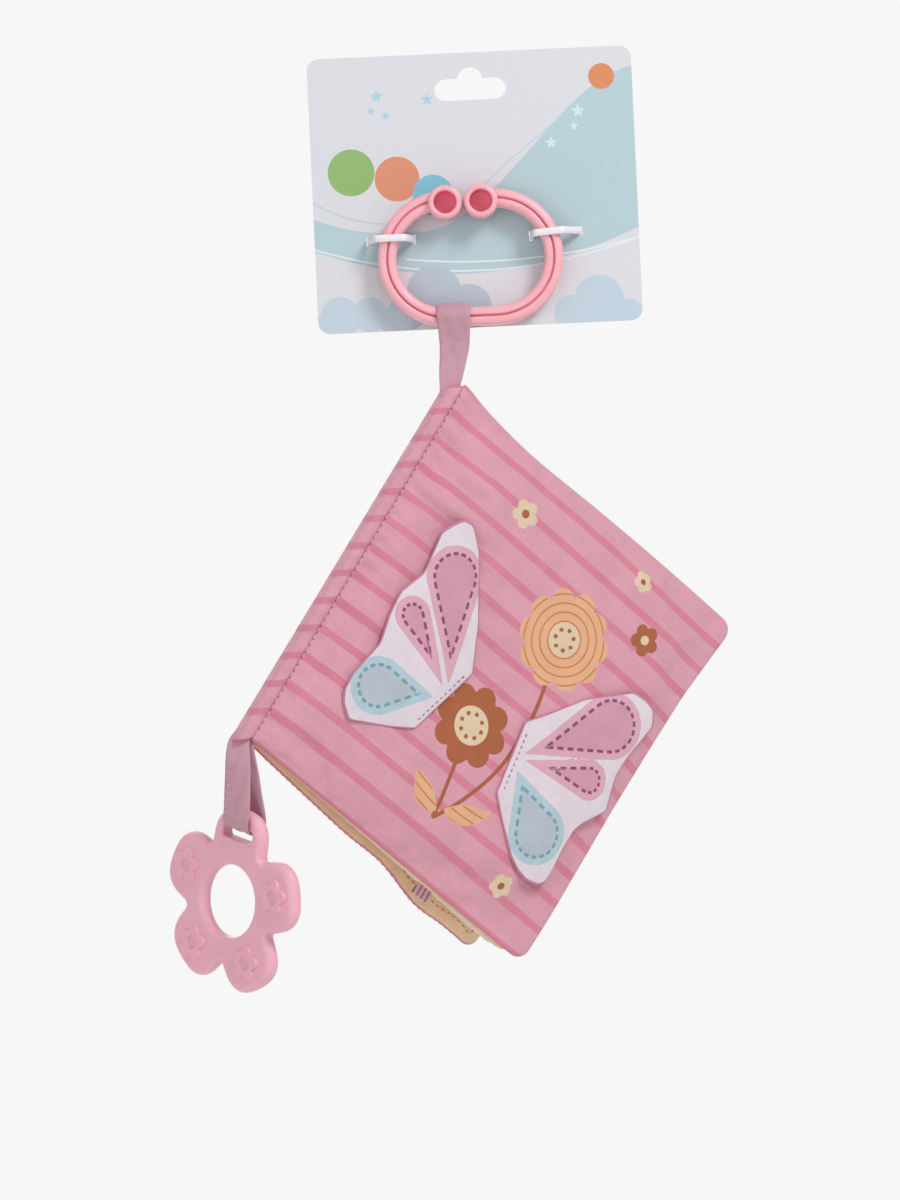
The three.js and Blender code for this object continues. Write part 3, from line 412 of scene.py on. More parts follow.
# Signed distance in millimetres from points to a closed outline, below zero inside, and the run along it.
def outlineField(points, outline):
    a = np.asarray(outline, float)
    step = np.roll(a, -1, axis=0) - a
    length = np.linalg.norm(step, axis=1)
    start = np.concatenate([[0], np.cumsum(length)[:-1]])
    away, run = np.full(len(points), 1e9), np.zeros(len(points))
    inside = np.zeros(len(points), bool)
    for k in range(len(a)):
        d = points - a[k]
        t = np.clip((d @ step[k]) / max(length[k] ** 2, 1e-9), 0, 1)
        off = np.linalg.norm(d - t[:, None] * step[k], axis=1)
        closer = off < away
        away[closer], run[closer] = off[closer], start[k] + t[closer] * length[k]
        if abs(step[k, 1]) > 1e-9:
            crosses = (a[k, 1] > points[:, 1]) != ((a[k, 1] + step[k, 1]) > points[:, 1])
            inside ^= crosses & (points[:, 0] < a[k, 0] + (points[:, 1] - a[k, 1]) / step[k, 1] * step[k, 0])
    return np.where(inside, -away, away), run


# Gives a piece a field that its material reads, on its front cloth only.
def giveField(made, name, work):
    flat = np.empty(3 * len(made.data.vertices), np.float32)
    made.data.attributes["flat"].data.foreach_get("vector", flat)
    flat = flat.reshape(-1, 3)
    front = flat[:, 1] < 5
    values = np.full(len(flat), 9.0)
    values[front] = work(flat[front][:, (0, 2)].astype(float))
    made.data.attributes.new(name, "FLOAT", "POINT").data.foreach_set("value", values.astype(np.float32))


def lobed(centre, outer, inner, petals, turn=0.0, count=140):
    t = np.linspace(0, 2 * math.pi, count, endpoint=False)
    reach = inner + (outer - inner) * np.abs(np.cos(petals * (t - turn) / 2)) ** 0.6
    return np.stack([centre[0] + reach * np.sin(t), centre[1] + reach * np.cos(t)], -1)


def strip(points, width, count=40):
    p = np.asarray(points, float)
    t = np.linspace(0, 1, count)
    line = (1 - t)[:, None] ** 2 * p[0] + 2 * ((1 - t) * t)[:, None] * p[1] + (t**2)[:, None] * p[2]
    ahead = np.gradient(line, axis=0)
    ahead /= np.linalg.norm(ahead, axis=1)[:, None]
    side = np.stack([-ahead[:, 1], ahead[:, 0]], -1) * (width(t) / 2)[:, None]
    return np.vstack([line + side, (line - side)[::-1]])


# Short raised stitches along a line; ups point away from the cloth.
def makeStitches(name, points, ups, body, material, place=bookPlace, pitch=2.7, share=0.62, thick=0.5):
    p, up = np.asarray(points, float), np.asarray(ups, float)
    run = runAlong(p)
    bm = bmesh.new()
    for k in range(int(run[-1] / pitch)):
        s = (k + 0.5) * pitch
        here = Vector([np.interp(s, run, p[:, c]) for c in range(3)])
        ends = [[np.interp(s + way, run, p[:, c]) for c in range(3)] for way in (0.5, -0.5)]
        ahead = Vector([b - a for b, a in zip(*ends)]).normalized()
        out = Vector([np.interp(s, run, up[:, c]) for c in range(3)])
        out = (out - ahead * out.dot(ahead)).normalized()
        side = ahead.cross(out)
        turn = Matrix((side, out, ahead)).transposed().to_4x4()
        size = Matrix.Diagonal((thick / 2, thick / 2, share * pitch / 2, 1))
        there = Matrix.Translation(here) @ turn @ size
        bmesh.ops.create_uvsphere(bm, u_segments=6, v_segments=6, radius=1, matrix=there)
    return settle(bm, name, place, [material], body)


# A padded board: two cloth faces on a grid, joined by a rounded, sewn edge.
def boardPad(name, body, place, front, back, corner, inset, materials, cells, rim=0):
    a, b = np.meshgrid(np.linspace(0, 1, cells[0] + 1), np.linspace(0, 1, cells[1] + 1))
    x, z = boardPlan(a, b, corner, inset)
    bm = newMesh()
    faces = []
    for depth, index in ((front(a, b), 0), (back(a, b), 1)):
        rows = np.stack([x, depth, z], axis=-1)
        flat = np.stack([x, np.full_like(x, index * 20.0), z], axis=-1)
        faces.append(skin(bm, rows, around=False, flat=flat, material=index))
    bmesh.ops.reverse_faces(bm, faces=faces[1])
    bm.normal_update()
    if faces[0][len(faces[0]) // 2].normal.y > 0:
        bmesh.ops.reverse_faces(bm, faces=faces[0] + faces[1])
    bridged = bmesh.ops.bridge_loops(bm, edges=[e for e in bm.edges if e.is_boundary])
    side = set(bridged["faces"])
    for f in side:
        f.material_index = rim
    across = [e for e in bridged["edges"] if all(f in side for f in e.link_faces)]
    cut = bmesh.ops.subdivide_edges(bm, edges=across, cuts=3, use_grid_fill=True)
    bm.normal_update()
    for v in [g for g in cut["geom_inner"] if isinstance(g, bmesh.types.BMVert)]:
        outward = Vector((v.normal.x, 0, v.normal.z))
        if outward.length > 0.1:
            share = min(1.0, abs(v.co.y) / half)
            v.co += outward.normalized() * 0.5 * math.sqrt(max(0.0, 1 - share * share))
    return settle(bm, name, place, materials, body)


# Cuts one object out of another for good.
def carve(made, cutter):
    modifier = made.modifiers.new("cut", "BOOLEAN")
    modifier.operation, modifier.solver, modifier.object = "DIFFERENCE", "EXACT", cutter
    graph = bpy.context.evaluated_depsgraph_get()
    graph.update()
    fresh = bpy.data.meshes.new_from_object(made.evaluated_get(graph))
    made.modifiers.clear()
    made.data = fresh
    bpy.data.objects.remove(cutter)


# Tan stitches inside the lower, fore and upper edges of a page; out is -1 on its front and 1 on its back.
def pageStitches(name, body, place, depth, out, board, inset, stitchInset=4.2, count=90):
    along, up = stitchInset / 136, stitchInset / book["seamLength"]
    a = np.concatenate(
        [np.linspace(0.06, 1 - along, count), np.full(count, 1 - along), np.linspace(1 - along, 0.06, count)]
    )
    b = np.concatenate([np.full(count, up), np.linspace(up, 1 - up, count), np.full(count, 1 - up)])
    x, z = boardPlan(a, b, board["corner"], inset)
    line = np.stack([x, depth(a, b) + 0.12 * out, z + 0.35 * np.sin(x / 3.1)], -1)
    made = makeStitches(name, line, np.tile((0, out, 0), (len(a), 1)), body, tanThread, place, pitch=3.1, thick=0.6)
    return made


# Lets the filling push a coarse copy of a board's cloth out; gives back how far its front moved, in millimetres.
swell = {"cells": (56, 60), "frames": 22, "pressure": 0.35, "shrink": -0.035, "most": 1.3, "scale": 10}


def swollenFront(front, back, corner, inset):
    nx, nz = swell["cells"]
    scale = swell["scale"]
    coarse = boardPad("swelling", None, Matrix.Scale(scale, 4), front, back, corner, inset, [], swell["cells"])
    a, b = np.meshgrid(np.linspace(0, 1, nx + 1), np.linspace(0, 1, nz + 1))
    count = a.size
    before = np.array([v.co for v in coarse.data.vertices])
    x, z = boardPlan(a, b, corner, inset)
    assert abs(before[:count, 0] / scale / millimetre - x.ravel()).max() < 0.01
    rim = np.ones(len(before))
    inner = ((a > 0) & (a < 1) & (b > 0) & (b < 1)).ravel()
    rim[:count][inner], rim[count : 2 * count][inner] = 0, 0
    pins = coarse.vertex_groups.new(name="rim")
    pins.add([int(k) for k in np.nonzero(rim)[0]], 1.0, "REPLACE")
    cloth = coarse.modifiers.new("swell", "CLOTH")
    s = cloth.settings
    s.quality, s.mass = 6, 0.3
    s.tension_stiffness = s.compression_stiffness = 12
    s.shear_stiffness, s.bending_stiffness = 4, 0.3
    s.use_pressure, s.uniform_pressure_force = True, swell["pressure"]
    s.shrink_min, s.vertex_group_mass = swell["shrink"], "rim"
    s.effector_weights.gravity = 0
    cloth.collision_settings.use_collision = False
    cloth.point_cache.frame_start, cloth.point_cache.frame_end = 1, swell["frames"]
    for f in range(1, swell["frames"] + 1):
        scene.frame_set(f)
    settled = coarse.evaluated_get(bpy.context.evaluated_depsgraph_get()).data
    after = np.array([v.co for v in settled.vertices])
    scene.frame_set(1)
    bpy.data.objects.remove(coarse)
    moved = ((after - before)[:count, 1] / scale / millimetre).reshape(a.shape)
    print(
        "cloth swelled by", round(float(-moved.min()), 2), "mm at most and", round(float(-moved.mean()), 2),
        "mm on average"
    )
    return moved


# Reads a grid of values at shares a and b.
def between(grid, a, b):
    x, z = a * (grid.shape[1] - 1), b * (grid.shape[0] - 1)
    i, j = np.minimum(x.astype(int), grid.shape[1] - 2), np.minimum(z.astype(int), grid.shape[0] - 2)
    u, v = x - i, z - j
    low = grid[j, i] * (1 - u) + grid[j, i + 1] * u
    high = grid[j + 1, i] * (1 - u) + grid[j + 1, i + 1] * u
    return low * (1 - v) + high * v


def swellOut(a, b):
    return alongBoard("outerSwell", a) * alongBoard("heightSwell", b)


def swellIn(a, b):
    return alongBoard("innerSwell", a) * alongBoard("heightSwell", b)


# Puckers that the sewing pulls into the cloth beside the seam and the edges, in millimetres.
puckers = {
    "width": 140, "seam": 0.6, "seamPitch": 6.3, "seamReach": 8, "edge": 0.24, "edgePitch": 8.5, "edgeReach": 5,
    "folds": 1.1,
    "crease": 0.85, "creasePitch": 14, "creaseReach": 48,
}


def puckered(a, b):
    x, z = a * puckers["width"], b * book["seamLength"]
    seam = np.sin(2 * math.pi * (z / puckers["seamPitch"] + 0.4 * np.sin(z / 13)) + 0.12 * x)
    made = puckers["seam"] * seam * np.exp(-x / puckers["seamReach"])
    near = np.minimum(z, book["seamLength"] - z)
    made += puckers["edge"] * np.sin(
        2 * math.pi * x / puckers["edgePitch"] + 1.3 * np.sin(x / 9)
    ) * np.exp(-near / puckers["edgeReach"])
    made += puckers["edge"] * np.sin(2 * math.pi * z / puckers["edgePitch"]) * np.exp(
        -(puckers["width"] - x) / puckers["edgeReach"]
    )
    # soft creases that run from the seam into the cloth and die out
    run = 2 * math.pi * (z / puckers["creasePitch"] + 0.35 * np.sin(z / 16) - 0.012 * x)
    fade = np.exp(-((x / puckers["creaseReach"]) ** 1.6)) * (0.55 + 0.45 * np.sin(z / 9.5 + x / 17 + 1))
    made += puckers["crease"] * (np.sin(run) + 0.45 * np.sin(1.73 * run + x / 11)) * fade
    across = (z - 0.55 * x) / 15
    folds = np.sin(across + 0.7 * np.sin(z / 21)) * np.exp(-(((x - 20) / 17) ** 2)) * np.clip((z - 25) / 40, 0, 1)
    folds += 0.6 * np.sin((z + 0.5 * x) / 19 + 2) * np.exp(-(((x - 105) / 30) ** 2))
    made += puckers["folds"] * folds
    return made * np.clip(np.minimum(np.minimum(a, 1 - a), np.minimum(b, 1 - b)) / 0.012, 0, 1)


middles = {
    "front": half,
    "leaf": 1.5 * edge + gap,
    "mirror": 2 * edge + 2 * gap + book["mirrorEdge"] / 2,
    "back": book["bandDepth"] - half,
}

# Front cover
frontCover = {"crown": 4.5, "liningCrown": 1.4, "corner": 5, "fan": 0}
frontPlace = boardPlace(middles["front"], frontCover["fan"])
frontLining = lambda a, b: half + frontCover["liningCrown"] * swellIn(a, b)
frontMoved = swollenFront(
    lambda a, b: -half - 0.8 * frontCover["crown"] * swellOut(a, b), frontLining, frontCover["corner"], 0
)


def frontDepth(a, b):
    pushed = -between(frontMoved, a, b)
    pushed = swell["most"] * np.tanh((pushed - 0.3 * swellOut(a, b)) / swell["most"])
    return -half - frontCover["crown"] * swellOut(a, b) - pushed * np.clip(swellOut(a, b) * 4, 0, 1) - puckered(a, b)


frontPad = boardPad(
    "frontCoverPad", "front_cover", frontPlace, frontDepth, frontLining,
    frontCover["corner"], 0, [posyCloth, creamCloth], cells=(150, 156),
)
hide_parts("front_outer_panel", "front_batting", "front_lining")

peach, rust = posy["peachBloom"], posy["rustBloom"]
foot = (73, 14)
stem = lambda t: posy["stem"] + 0 * t
leaf = lambda t: 7.5 * np.sin(math.pi * t) ** 0.8 + 0.05
prints = {
    "rustPrint": [
        lobed(rust["centre"], rust["outer"], rust["inner"], rust["petals"]),
        strip([foot, (94, 45), (85, 82)], stem), strip([foot, (72, 25), (69, 38)], stem),
    ],
    "peachPrint": [
        lobed(peach["centre"], peach["outer"], peach["inner"], peach["petals"]),
        strip([(75, 19), (84, 20), (92, 28)], leaf), strip([(73, 17), (66, 17), (58, 26)], leaf),
    ],
    "creamPrint": [
        lobed(rust["centre"], rust["heart"], rust["heart"], 1),
        lobed(peach["centre"], peach["heart"], peach["heart"], 1),
    ],
    "dotPrint": [],
}
for bloom, dots, reach in ((rust, 8, 4.6), (peach, 7, 3.9)):
    for k in range(dots):
        t = 2 * math.pi * k / dots
        spot = (bloom["centre"][0] + reach * math.sin(t), bloom["centre"][1] + reach * math.cos(t))
        prints["dotPrint"].append(lobed(spot, posy["dot"], posy["dot"], 1, count=12))
for spot, size, ink in posy["smallBlooms"]:
    prints[ink + "Print"].append(lobed(spot, size, size * 0.62, 5, turn=0.4, count=80))
    prints["dotPrint" if ink == "cream" else "creamPrint"].append(lobed(spot, size * 0.3, size * 0.3, 1, count=20))
for field, outlines in prints.items():
    giveField(frontPad, field, lambda points: np.min([outlineField(points, o)[0] for o in outlines], axis=0))
pageStitches("frontLiningStitches", "front_cover", frontPlace, frontLining, 1, frontCover, 0)
print("front cover made")

# Inner leaf
innerLeaf = {"frontCrown": 1.4, "backCrown": 1.3, "corner": 8, "inset": 0.5, "fan": 2.5}
leafPlace = boardPlace(middles["leaf"], innerLeaf["fan"])
leafFront = lambda a, b: -half - innerLeaf["frontCrown"] * swellIn(a, b)
leafBack = lambda a, b: half + innerLeaf["backCrown"] * swellIn(a, b)
leafPad = boardPad(
    "innerLeafPad", "inner_leaf", leafPlace, leafFront, leafBack, innerLeaf["corner"], innerLeaf["inset"],
    [creamCloth, creamCloth], cells=(70, 74)
)
pageStitches("leafFrontStitches", "inner_leaf", leafPlace, leafFront, -1, innerLeaf, innerLeaf["inset"])
pageStitches("leafBackStitches", "inner_leaf", leafPlace, leafBack, 1, innerLeaf, innerLeaf["inset"])
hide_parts("inner_leaf_front_panel", "inner_leaf_batting", "inner_leaf_back_panel")

# Back cover
backCover = {"crown": 3, "liningCrown": 1, "corner": 5, "fan": 12}
backPlace = boardPlace(middles["back"], backCover["fan"])


def backLining(a, b):
    return -half - backCover["liningCrown"] * swellIn(a, b) - 0.35 * np.sin(a * 90) * np.exp(-b * 30) * alongBoard(
        "innerSwell", a
    )


backPad = boardPad(
    "backCoverPad", "back_cover", backPlace, backLining,
    lambda a, b: half + backCover["crown"] * swellOut(a, b) + 0.6 * puckered(a, b),
    backCover["corner"], 0, [creamCloth, coverCloth], cells=(100, 104), rim=1,
)
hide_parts("back_lining", "back_batting", "back_outer_panel")
print("boards made")

liningStitches = pageStitches("backLiningStitches", "back_cover", backPlace, backLining, -1, backCover, 0)

a = np.linspace(0.08, 0.94, 120)
x, z = boardPlan(a, np.zeros(120), backCover["corner"], 0)
line = np.stack([x, np.full(120, 0.35), z - 0.45], -1)
rimStitches = makeStitches(
    "backRimStitches", line, np.tile((0, 0.3, -1), (120, 1)), "back_cover", paleThread, backPlace, pitch=3.1,
    share=0.5, thick=0.5,
)

# The lower edge waves in the cover's plane: in at one share of its width, out at the next.
edgeWave = {"rise": (0.57, 1.2), "fall": (0.76, -1.8), "spread": 0.09, "reach": 16}


def waveEdge(made):
    there = backPlace @ Matrix.Scale(millimetre, 4)
    back = there.inverted()
    for v in made.data.vertices:
        p = back @ v.co
        share = p.x / book["bottomWidth"]
        shift = sum(
            size * math.exp(-(((share - at) / edgeWave["spread"]) ** 2)) for at,
            size in (edgeWave["rise"], edgeWave["fall"])
        )
        p.z += shift * math.exp(-max(0.0, p.z + book["foreDrop"] * share) / edgeWave["reach"])
        v.co = there @ p


for made in (backPad, liningStitches, rimStitches):
    waveEdge(made)

# Spine: a stuffed roll of the cover cloth from the front seam round the fold to the back seam.
spine = {"centre": (-2.3, 3.6), "reach": (2.65, 4.1), "wrinkle": 0.2, "taper": 3}


def spineRows(steps=150, around=44):
    rows, flats = [], []
    for z in np.linspace(0, book["seamLength"], steps + 1):
        near = min(z, book["seamLength"] - z) / spine["taper"]
        plump = 0.84 + 0.16 * math.sqrt(max(0.0, 1 - (1 - min(near, 1)) ** 2))
        row, flat = [], []
        for k in range(around):
            t = 2 * math.pi * k / around
            c, s = math.cos(t), math.sin(t)
            fold = spine["wrinkle"] * math.sin(
                2 * math.pi * (z / puckers["seamPitch"] + 0.4 * math.sin(z / 13)) + 1.5 * c
            )
            x = spine["centre"][0] + (spine["reach"][0] * plump) * math.copysign(abs(c) ** 0.75, c)
            y = spine["centre"][1] + (spine["reach"][1] * plump + fold * abs(s)) * math.copysign(abs(s) ** 0.62, s)
            row.append((x, y, z + book["bandSlant"] / book["bandWidth"] * min(x, 0)))
            flat.append((-abs(x), 0, z))
        rows.append(row)
        flats.append(flat)
    return rows, flats


bm = newMesh()
rows, flats = spineRows()
skin(bm, rows, flat=flats)
spineRoll = settle(bm, "spineRoll", bookPlace, [coverCloth], "spine")
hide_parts("spine_cover", "spine_core")
levels = np.linspace(1.5, book["seamLength"] - 0.5, 160)
for name, y, out in (("frontSeamStitches", -0.12, -1), ("backSeamStitches", book["bandDepth"] + 0.12, 1)):
    line = np.stack([np.full_like(levels, 0.12), np.full_like(levels, y), levels], -1)
    makeStitches(name, line, np.tile((-0.25, out, 0), (160, 1)), "spine", paleThread)
    # dark dots between the stitches paint the shade in the needle holes
    holes = line + (0, -0.06 * out, 1.35)
    makeStitches(
            name.replace("Stitches", "NeedleHoleShades"), holes[:-3], np.tile((-0.25, out, 0), (157, 1)), "spine",
            needleHoleShade, share=0.24, thick=0.46
        )

# Mirror leaf: a flat pad with a round window in its front face.
mirrorLeaf = {
    "backCrown": 2, "corner": 8, "inset": 1.5, "fan": 4.5, "window": 58, "floor": -0.12, "hemStitch": 1.5,
    # the hem's section: out from the window's edge, and up from the leaf
    "hem": (
        (-0.1, -0.5), (-0.35, -0.1), (-0.25, 0.2), (0.1, 0.36), (1.5, 0.4),
        (2.7, 0.36), (3.1, 0.2), (3.2, -0.1), (3, -0.5),
    ),
}
mirrorPlace = boardPlace(middles["mirror"], mirrorLeaf["fan"])
mirrorHalf = book["mirrorEdge"] / 2
mirrorPad = boardPad(
    "mirrorLeafPad", "spine", mirrorPlace,
    lambda a, b: np.full_like(a, -mirrorHalf),
    lambda a, b: mirrorHalf + mirrorLeaf["backCrown"] * swellOut(a, b),
    mirrorLeaf["corner"], mirrorLeaf["inset"], [whiteCloth, creamCloth], cells=(70, 74),
)
mirrorSpot = Vector(
    (
        0.5 * ((book["bottomWidth"] + book["topWidth"]) / 2 - mirrorLeaf["inset"]), 0,
        (book["seamLength"] - book["foreDrop"]) / 2
    )
)
bm = newMesh()
bmesh.ops.create_cone(
    bm, cap_ends=True, segments=96, radius1=mirrorLeaf["window"] / 2, radius2=mirrorLeaf["window"] / 2, depth=2
)
bm.transform(
    Matrix.Translation(mirrorSpot + Vector((0, mirrorLeaf["floor"] - 1, 0))) @ Matrix.Rotation(math.pi / 2, 4, "X")
)
carve(mirrorPad, settle(bm, "windowCutter", mirrorPlace, [whiteCloth]))
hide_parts("mirror_leaf_front_panel", "mirror_leaf_backing", "mirror_leaf_back_panel")
bm = newMesh()
line = [(mirrorLeaf["window"] / 2 + out, -mirrorHalf - up) for out, up in mirrorLeaf["hem"]]
spinRound(bm, chain(bm, [mirrorSpot + Vector((r, y, 0)) for r, y in line]), mirrorSpot, 96)
bmesh.ops.remove_doubles(bm, verts=bm.verts, dist=0.01)
bmesh.ops.recalc_face_normals(bm, faces=bm.faces)
layer = bm.verts.layers.float_vector["flat"]
for v in bm.verts:
    v[layer] = v.co
hem = settle(bm, "mirrorWindowHem", mirrorPlace, [hemCloth], "spine")
turns = np.linspace(0, 2 * math.pi, 200)
reach = mirrorLeaf["window"] / 2 + mirrorLeaf["hemStitch"]
line = np.stack(
    [mirrorSpot.x + reach * np.cos(turns), np.full(200, -mirrorHalf - 0.42), mirrorSpot.z + reach * np.sin(turns)], -1
)
makeStitches("mirrorHemStitches", line, np.tile((0, -1, 0), (200, 1)), "spine", plumThread, mirrorPlace)
print("spine and mirror leaf made")

# Flaps: outline as shares of span and height, the same as the solids.
flapShape = {
    "clearance": 0.6, "crown": 1.3, "drape": 0.5, "centre": 0.38, "edge": 1.1, "stitchInset": 2.2,
    "dashInset": 3.0, "dashWidth": 1.15, "dash": 2.6, "dashPitch": 4.3,
}
flaps = {
    "left": {
        "place": (53.5, 51.1), "lean": 16.7, "span": 47.3, "height": 81, "side": -1,
        "outline": [
            (0.015, 0.182), (0.063, 0.207), (0.254, 0.332), (0.419, 0.417), (0.693, 0.543), (0.786, 0.568),
            (0.879, 0.593), (0.953, 0.575), (0.983, 0.519), (1, 0.456), (0.926, 0.362), (0.858, 0.278),
            (0.873, 0.142), (0.797, 0.023), (0.719, -0.053), (0.689, -0.086), (0.679, -0.154), (0.655, -0.268),
            (0.606, -0.343), (0.541, -0.379), (0.416, -0.407), (0.165, -0.28), (0.015, -0.191), (0.015, 0),
        ],
        "rose": [((4, 4), (32, 31), 11.5), ((5, 2), (32.5, 9), 7)], "sky": [((4.5, -3), (22, -17.5), 10.5)],
        "stitch": 13.5,
    },
    "right": {
        "place": (87.2, 49.1), "lean": -8.3, "span": 49.5, "height": 79.3, "side": 1,
        "outline": [
            (0.01, -0.176), (0.145, -0.279), (0.325, -0.404), (0.424, -0.446), (0.515, -0.467), (0.616, -0.464),
            (0.663, -0.441), (0.681, -0.36), (0.691, -0.269), (0.711, -0.172), (0.747, -0.131), (0.907, -0.016),
            (0.901, 0.028), (0.873, 0.151), (0.901, 0.241), (0.964, 0.371), (1, 0.438), (0.953, 0.505),
            (0.865, 0.527), (0.743, 0.533), (0.4, 0.4), (0.15, 0.25), (0.01, 0.175), (0.01, 0),
        ],
        "rose": [((4, 3), (33.5, 27.5), 12.5), ((5, 1), (33, 5.5), 7.5)], "sky": [((4, -3.5), (21.5, -21), 11.5)],
        "stitch": 12.5,
    },
}


# Lilac flaps with a rose and a sky drop, each with a printed line of dashes inside its edge.
def dropPaint(tree, flat, parts):
    ground = linear(inks["lilac"])
    for field, rimInk, ink, dashInk in (("rose", "roseRim", "rose", "plum"), ("sky", "skyRim", "sky", "teal")):
        away = add(tree, "Attribute", out=2, attribute_name=field)
        run = add(tree, "Attribute", out=2, attribute_name=field + "Run")
        off = add(tree, "Math ABSOLUTE", add(tree, "Math ADD", away, flapShape["dashInset"]))
        onLine = add(tree, "Math LESS_THAN", off, flapShape["dashWidth"] / 2)
        within = add(tree, "Math FLOORED_MODULO", run, flapShape["dashPitch"])
        dash = add(tree, "Math LESS_THAN", within, flapShape["dash"])
        masks = [
            (add(tree, "Math LESS_THAN", away, 0.0), inks[rimInk]),
            (add(tree, "Math LESS_THAN", away, -flapShape["dashInset"]), inks[ink]),
            (add(tree, "Math MULTIPLY", onLine, dash), inks[dashInk]),
        ]
        ground = layOver(tree, ground, masks)
    return ground


flapCloth = clothMaterial("printed polyester cloth, lilac", dropPaint)
flapBackCloth = clothMaterial("pink polyester cloth", plainPaint("#D58FA8"))


def coverDepth(x, z):
    across = x / ((book["bottomWidth"] + book["topWidth"]) / 2)
    return swellOut(across, (z + book["foreDrop"] * across) / book["seamLength"])


# A drop: a point drawn out to a circle.
def dropOutline(tip, centre, radius, count=90):
    tip, centre = np.array(tip, float), np.array(centre, float)
    reach = np.linalg.norm(tip - centre)
    towards = math.atan2(tip[1] - centre[1], tip[0] - centre[0])
    open = math.acos(radius / reach)
    t = np.linspace(towards + open, towards + 2 * math.pi - open, count)
    arc = centre + radius * np.stack([np.cos(t), np.sin(t)], -1)
    return evenLoop(np.vstack([tip[None], arc]), 160, 2)


def nearestDrop(points, drops):
    fields = np.array([outlineField(points, drop) for drop in drops])
    nearest = np.argmin(fields[:, 0], axis=0)
    return fields[nearest, :, np.arange(len(points))].T


def makeFlap(side, count=240, ringsAcross=34):
    flap = flaps[side]
    turn = math.radians(flap["lean"])
    outline = evenLoop([(u * flap["span"], v * flap["height"]) for u, v in flap["outline"]], count, 1)
    centre = np.array((flapShape["centre"] * flap["span"], 0.0))

    def back(out, up):
        x = flap["place"][0] + flap["side"] * out * math.cos(turn) + up * math.sin(turn)
        z = flap["place"][1] - flap["side"] * out * math.sin(turn) + up * math.cos(turn)
        fall = flapShape["drape"] * (1 - coverDepth(x, z))
        curl = 0.9 * np.clip(
            out / flap["span"], 0, 1
        ) ** 2 + 0.35 * np.sin(up / 9 + out / 14) * np.clip(out / 20, 0, 1)
        return -half - flapShape["clearance"] - frontCover["crown"] * (1 - fall) - curl - 0.5

    shares = 1 - np.linspace(0, 1, ringsAcross) ** 1.4
    fronts, backs, flatFront, flatBack = [], [], [], []
    for share in shares:
        ring = centre + max(share, 0.01) * (outline - centre)
        plump = np.interp(1 - share, [0, 0.06, 0.28, 0.6, 1], [0, 0.25, 0.7, 0.95, 1])
        wrinkle = 0.12 * np.sin(
            ring[:, 1] / 2.6 + ring[:, 0] / 5
        ) * (1 - plump) + 0.1 * np.sin(ring[:, 0] / 4 - ring[:, 1] / 6)
        depth = back(ring[:, 0], ring[:, 1])
        fronts.append(
            np.stack(
                [
                    flap["side"] * ring[:, 0], depth - flapShape["edge"] - flapShape["crown"] * plump - wrinkle,
                    ring[:, 1]
                ],
                -1
            )
        )
        backs.append(np.stack([flap["side"] * ring[:, 0], depth, ring[:, 1]], -1))
        flatFront.append(np.stack([ring[:, 0], np.zeros(count), ring[:, 1]], -1))
        flatBack.append(np.stack([ring[:, 0], np.full(count, 9.0), ring[:, 1]], -1))
    edgeRing = centre + (outline - centre) * 1.022
    depth = back(edgeRing[:, 0], edgeRing[:, 1])
    rims, rimFlats = [], []
    for share in (0.9, 0.45, 0.1):
        rims.append(np.stack([flap["side"] * edgeRing[:, 0], depth - flapShape["edge"] * share, edgeRing[:, 1]], -1))
        rimFlats.append(np.stack([edgeRing[:, 0], np.full(count, 9.0), edgeRing[:, 1]], -1))
    bm = newMesh()
    skin(bm, fronts[::-1] + rims + backs, flat=flatFront[::-1] + rimFlats + flatBack)
    layer = bm.verts.layers.float_vector["flat"]
    for f in bm.faces:
        f.material_index = 1 if any(v[layer].y > 5 for v in f.verts) else 0
    shift = Vector((flap["place"][0], 0, flap["place"][1])) * millimetre
    place = frontPlace @ Matrix.Translation(shift) @ Matrix.Rotation(turn, 4, "Y")
    made = settle(bm, side + "FlapPad", place, [flapCloth, flapBackCloth], side + "_flap")
    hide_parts(side + "_flap_front_panel", side + "_flap_batting", side + "_flap_back_panel")
    for field in ("rose", "sky"):
        drops = [dropOutline(*drop) for drop in flap[field]]
        giveField(made, field, lambda points: nearestDrop(points, drops)[0])
        giveField(made, field + "Run", lambda points: nearestDrop(points, drops)[1])
    ups = np.linspace(-flap["stitch"], flap["stitch"], 40)
    depth = back(np.full(40, flapShape["stitchInset"]), ups) - flapShape["edge"] - flapShape["crown"] * 0.33
    line = np.stack([np.full(40, flap["side"] * flapShape["stitchInset"]), depth, ups], -1)
    stitches = makeStitches(
        side + "FlapStitches", line, np.tile((0, -1, 0), (40, 1)), side + "_flap", plumThread, place, pitch=2.3,
        thick=0.55
    )


for side in flaps:
    makeFlap(side)
print("flaps made")

# Header card, ring and ties share the card's tilt.
display = {"tilt": -2.64, "ringShift": 2.66, "ringDrop": 61.94, "standOff": 2.3, "cardHalf": 0.25}
displayPlace = Matrix.Rotation(math.radians(display["tilt"]), 4, "Y")
ringShift = Vector((-display["ringShift"], 0, -display["ringDrop"])) * millimetre
ringPlace = displayPlace @ Matrix.Translation(ringShift)

# Link ring: a moulded C whose ends meet in two open studs.
ring = {
    "straight": 18, "bend": 21.2, "width": 6.8, "depth": 7, "rounding": 2.2, "groove": 0.75, "grooveDepth": 0.9,
    "knob": 12.3, "bore": 8.2, "length": 9.5, "floor": 2, "rim": 1.3, "spacing": 12.93, "shift": 1.93, "sink": 1.1,
    "wallShare": 0.675, "grooveLip": 0.2, "grooveEdge": 0.25,
}
ringBack = -(display["cardHalf"] + display["standOff"])
ringMiddle = ringBack - ring["depth"] / 2


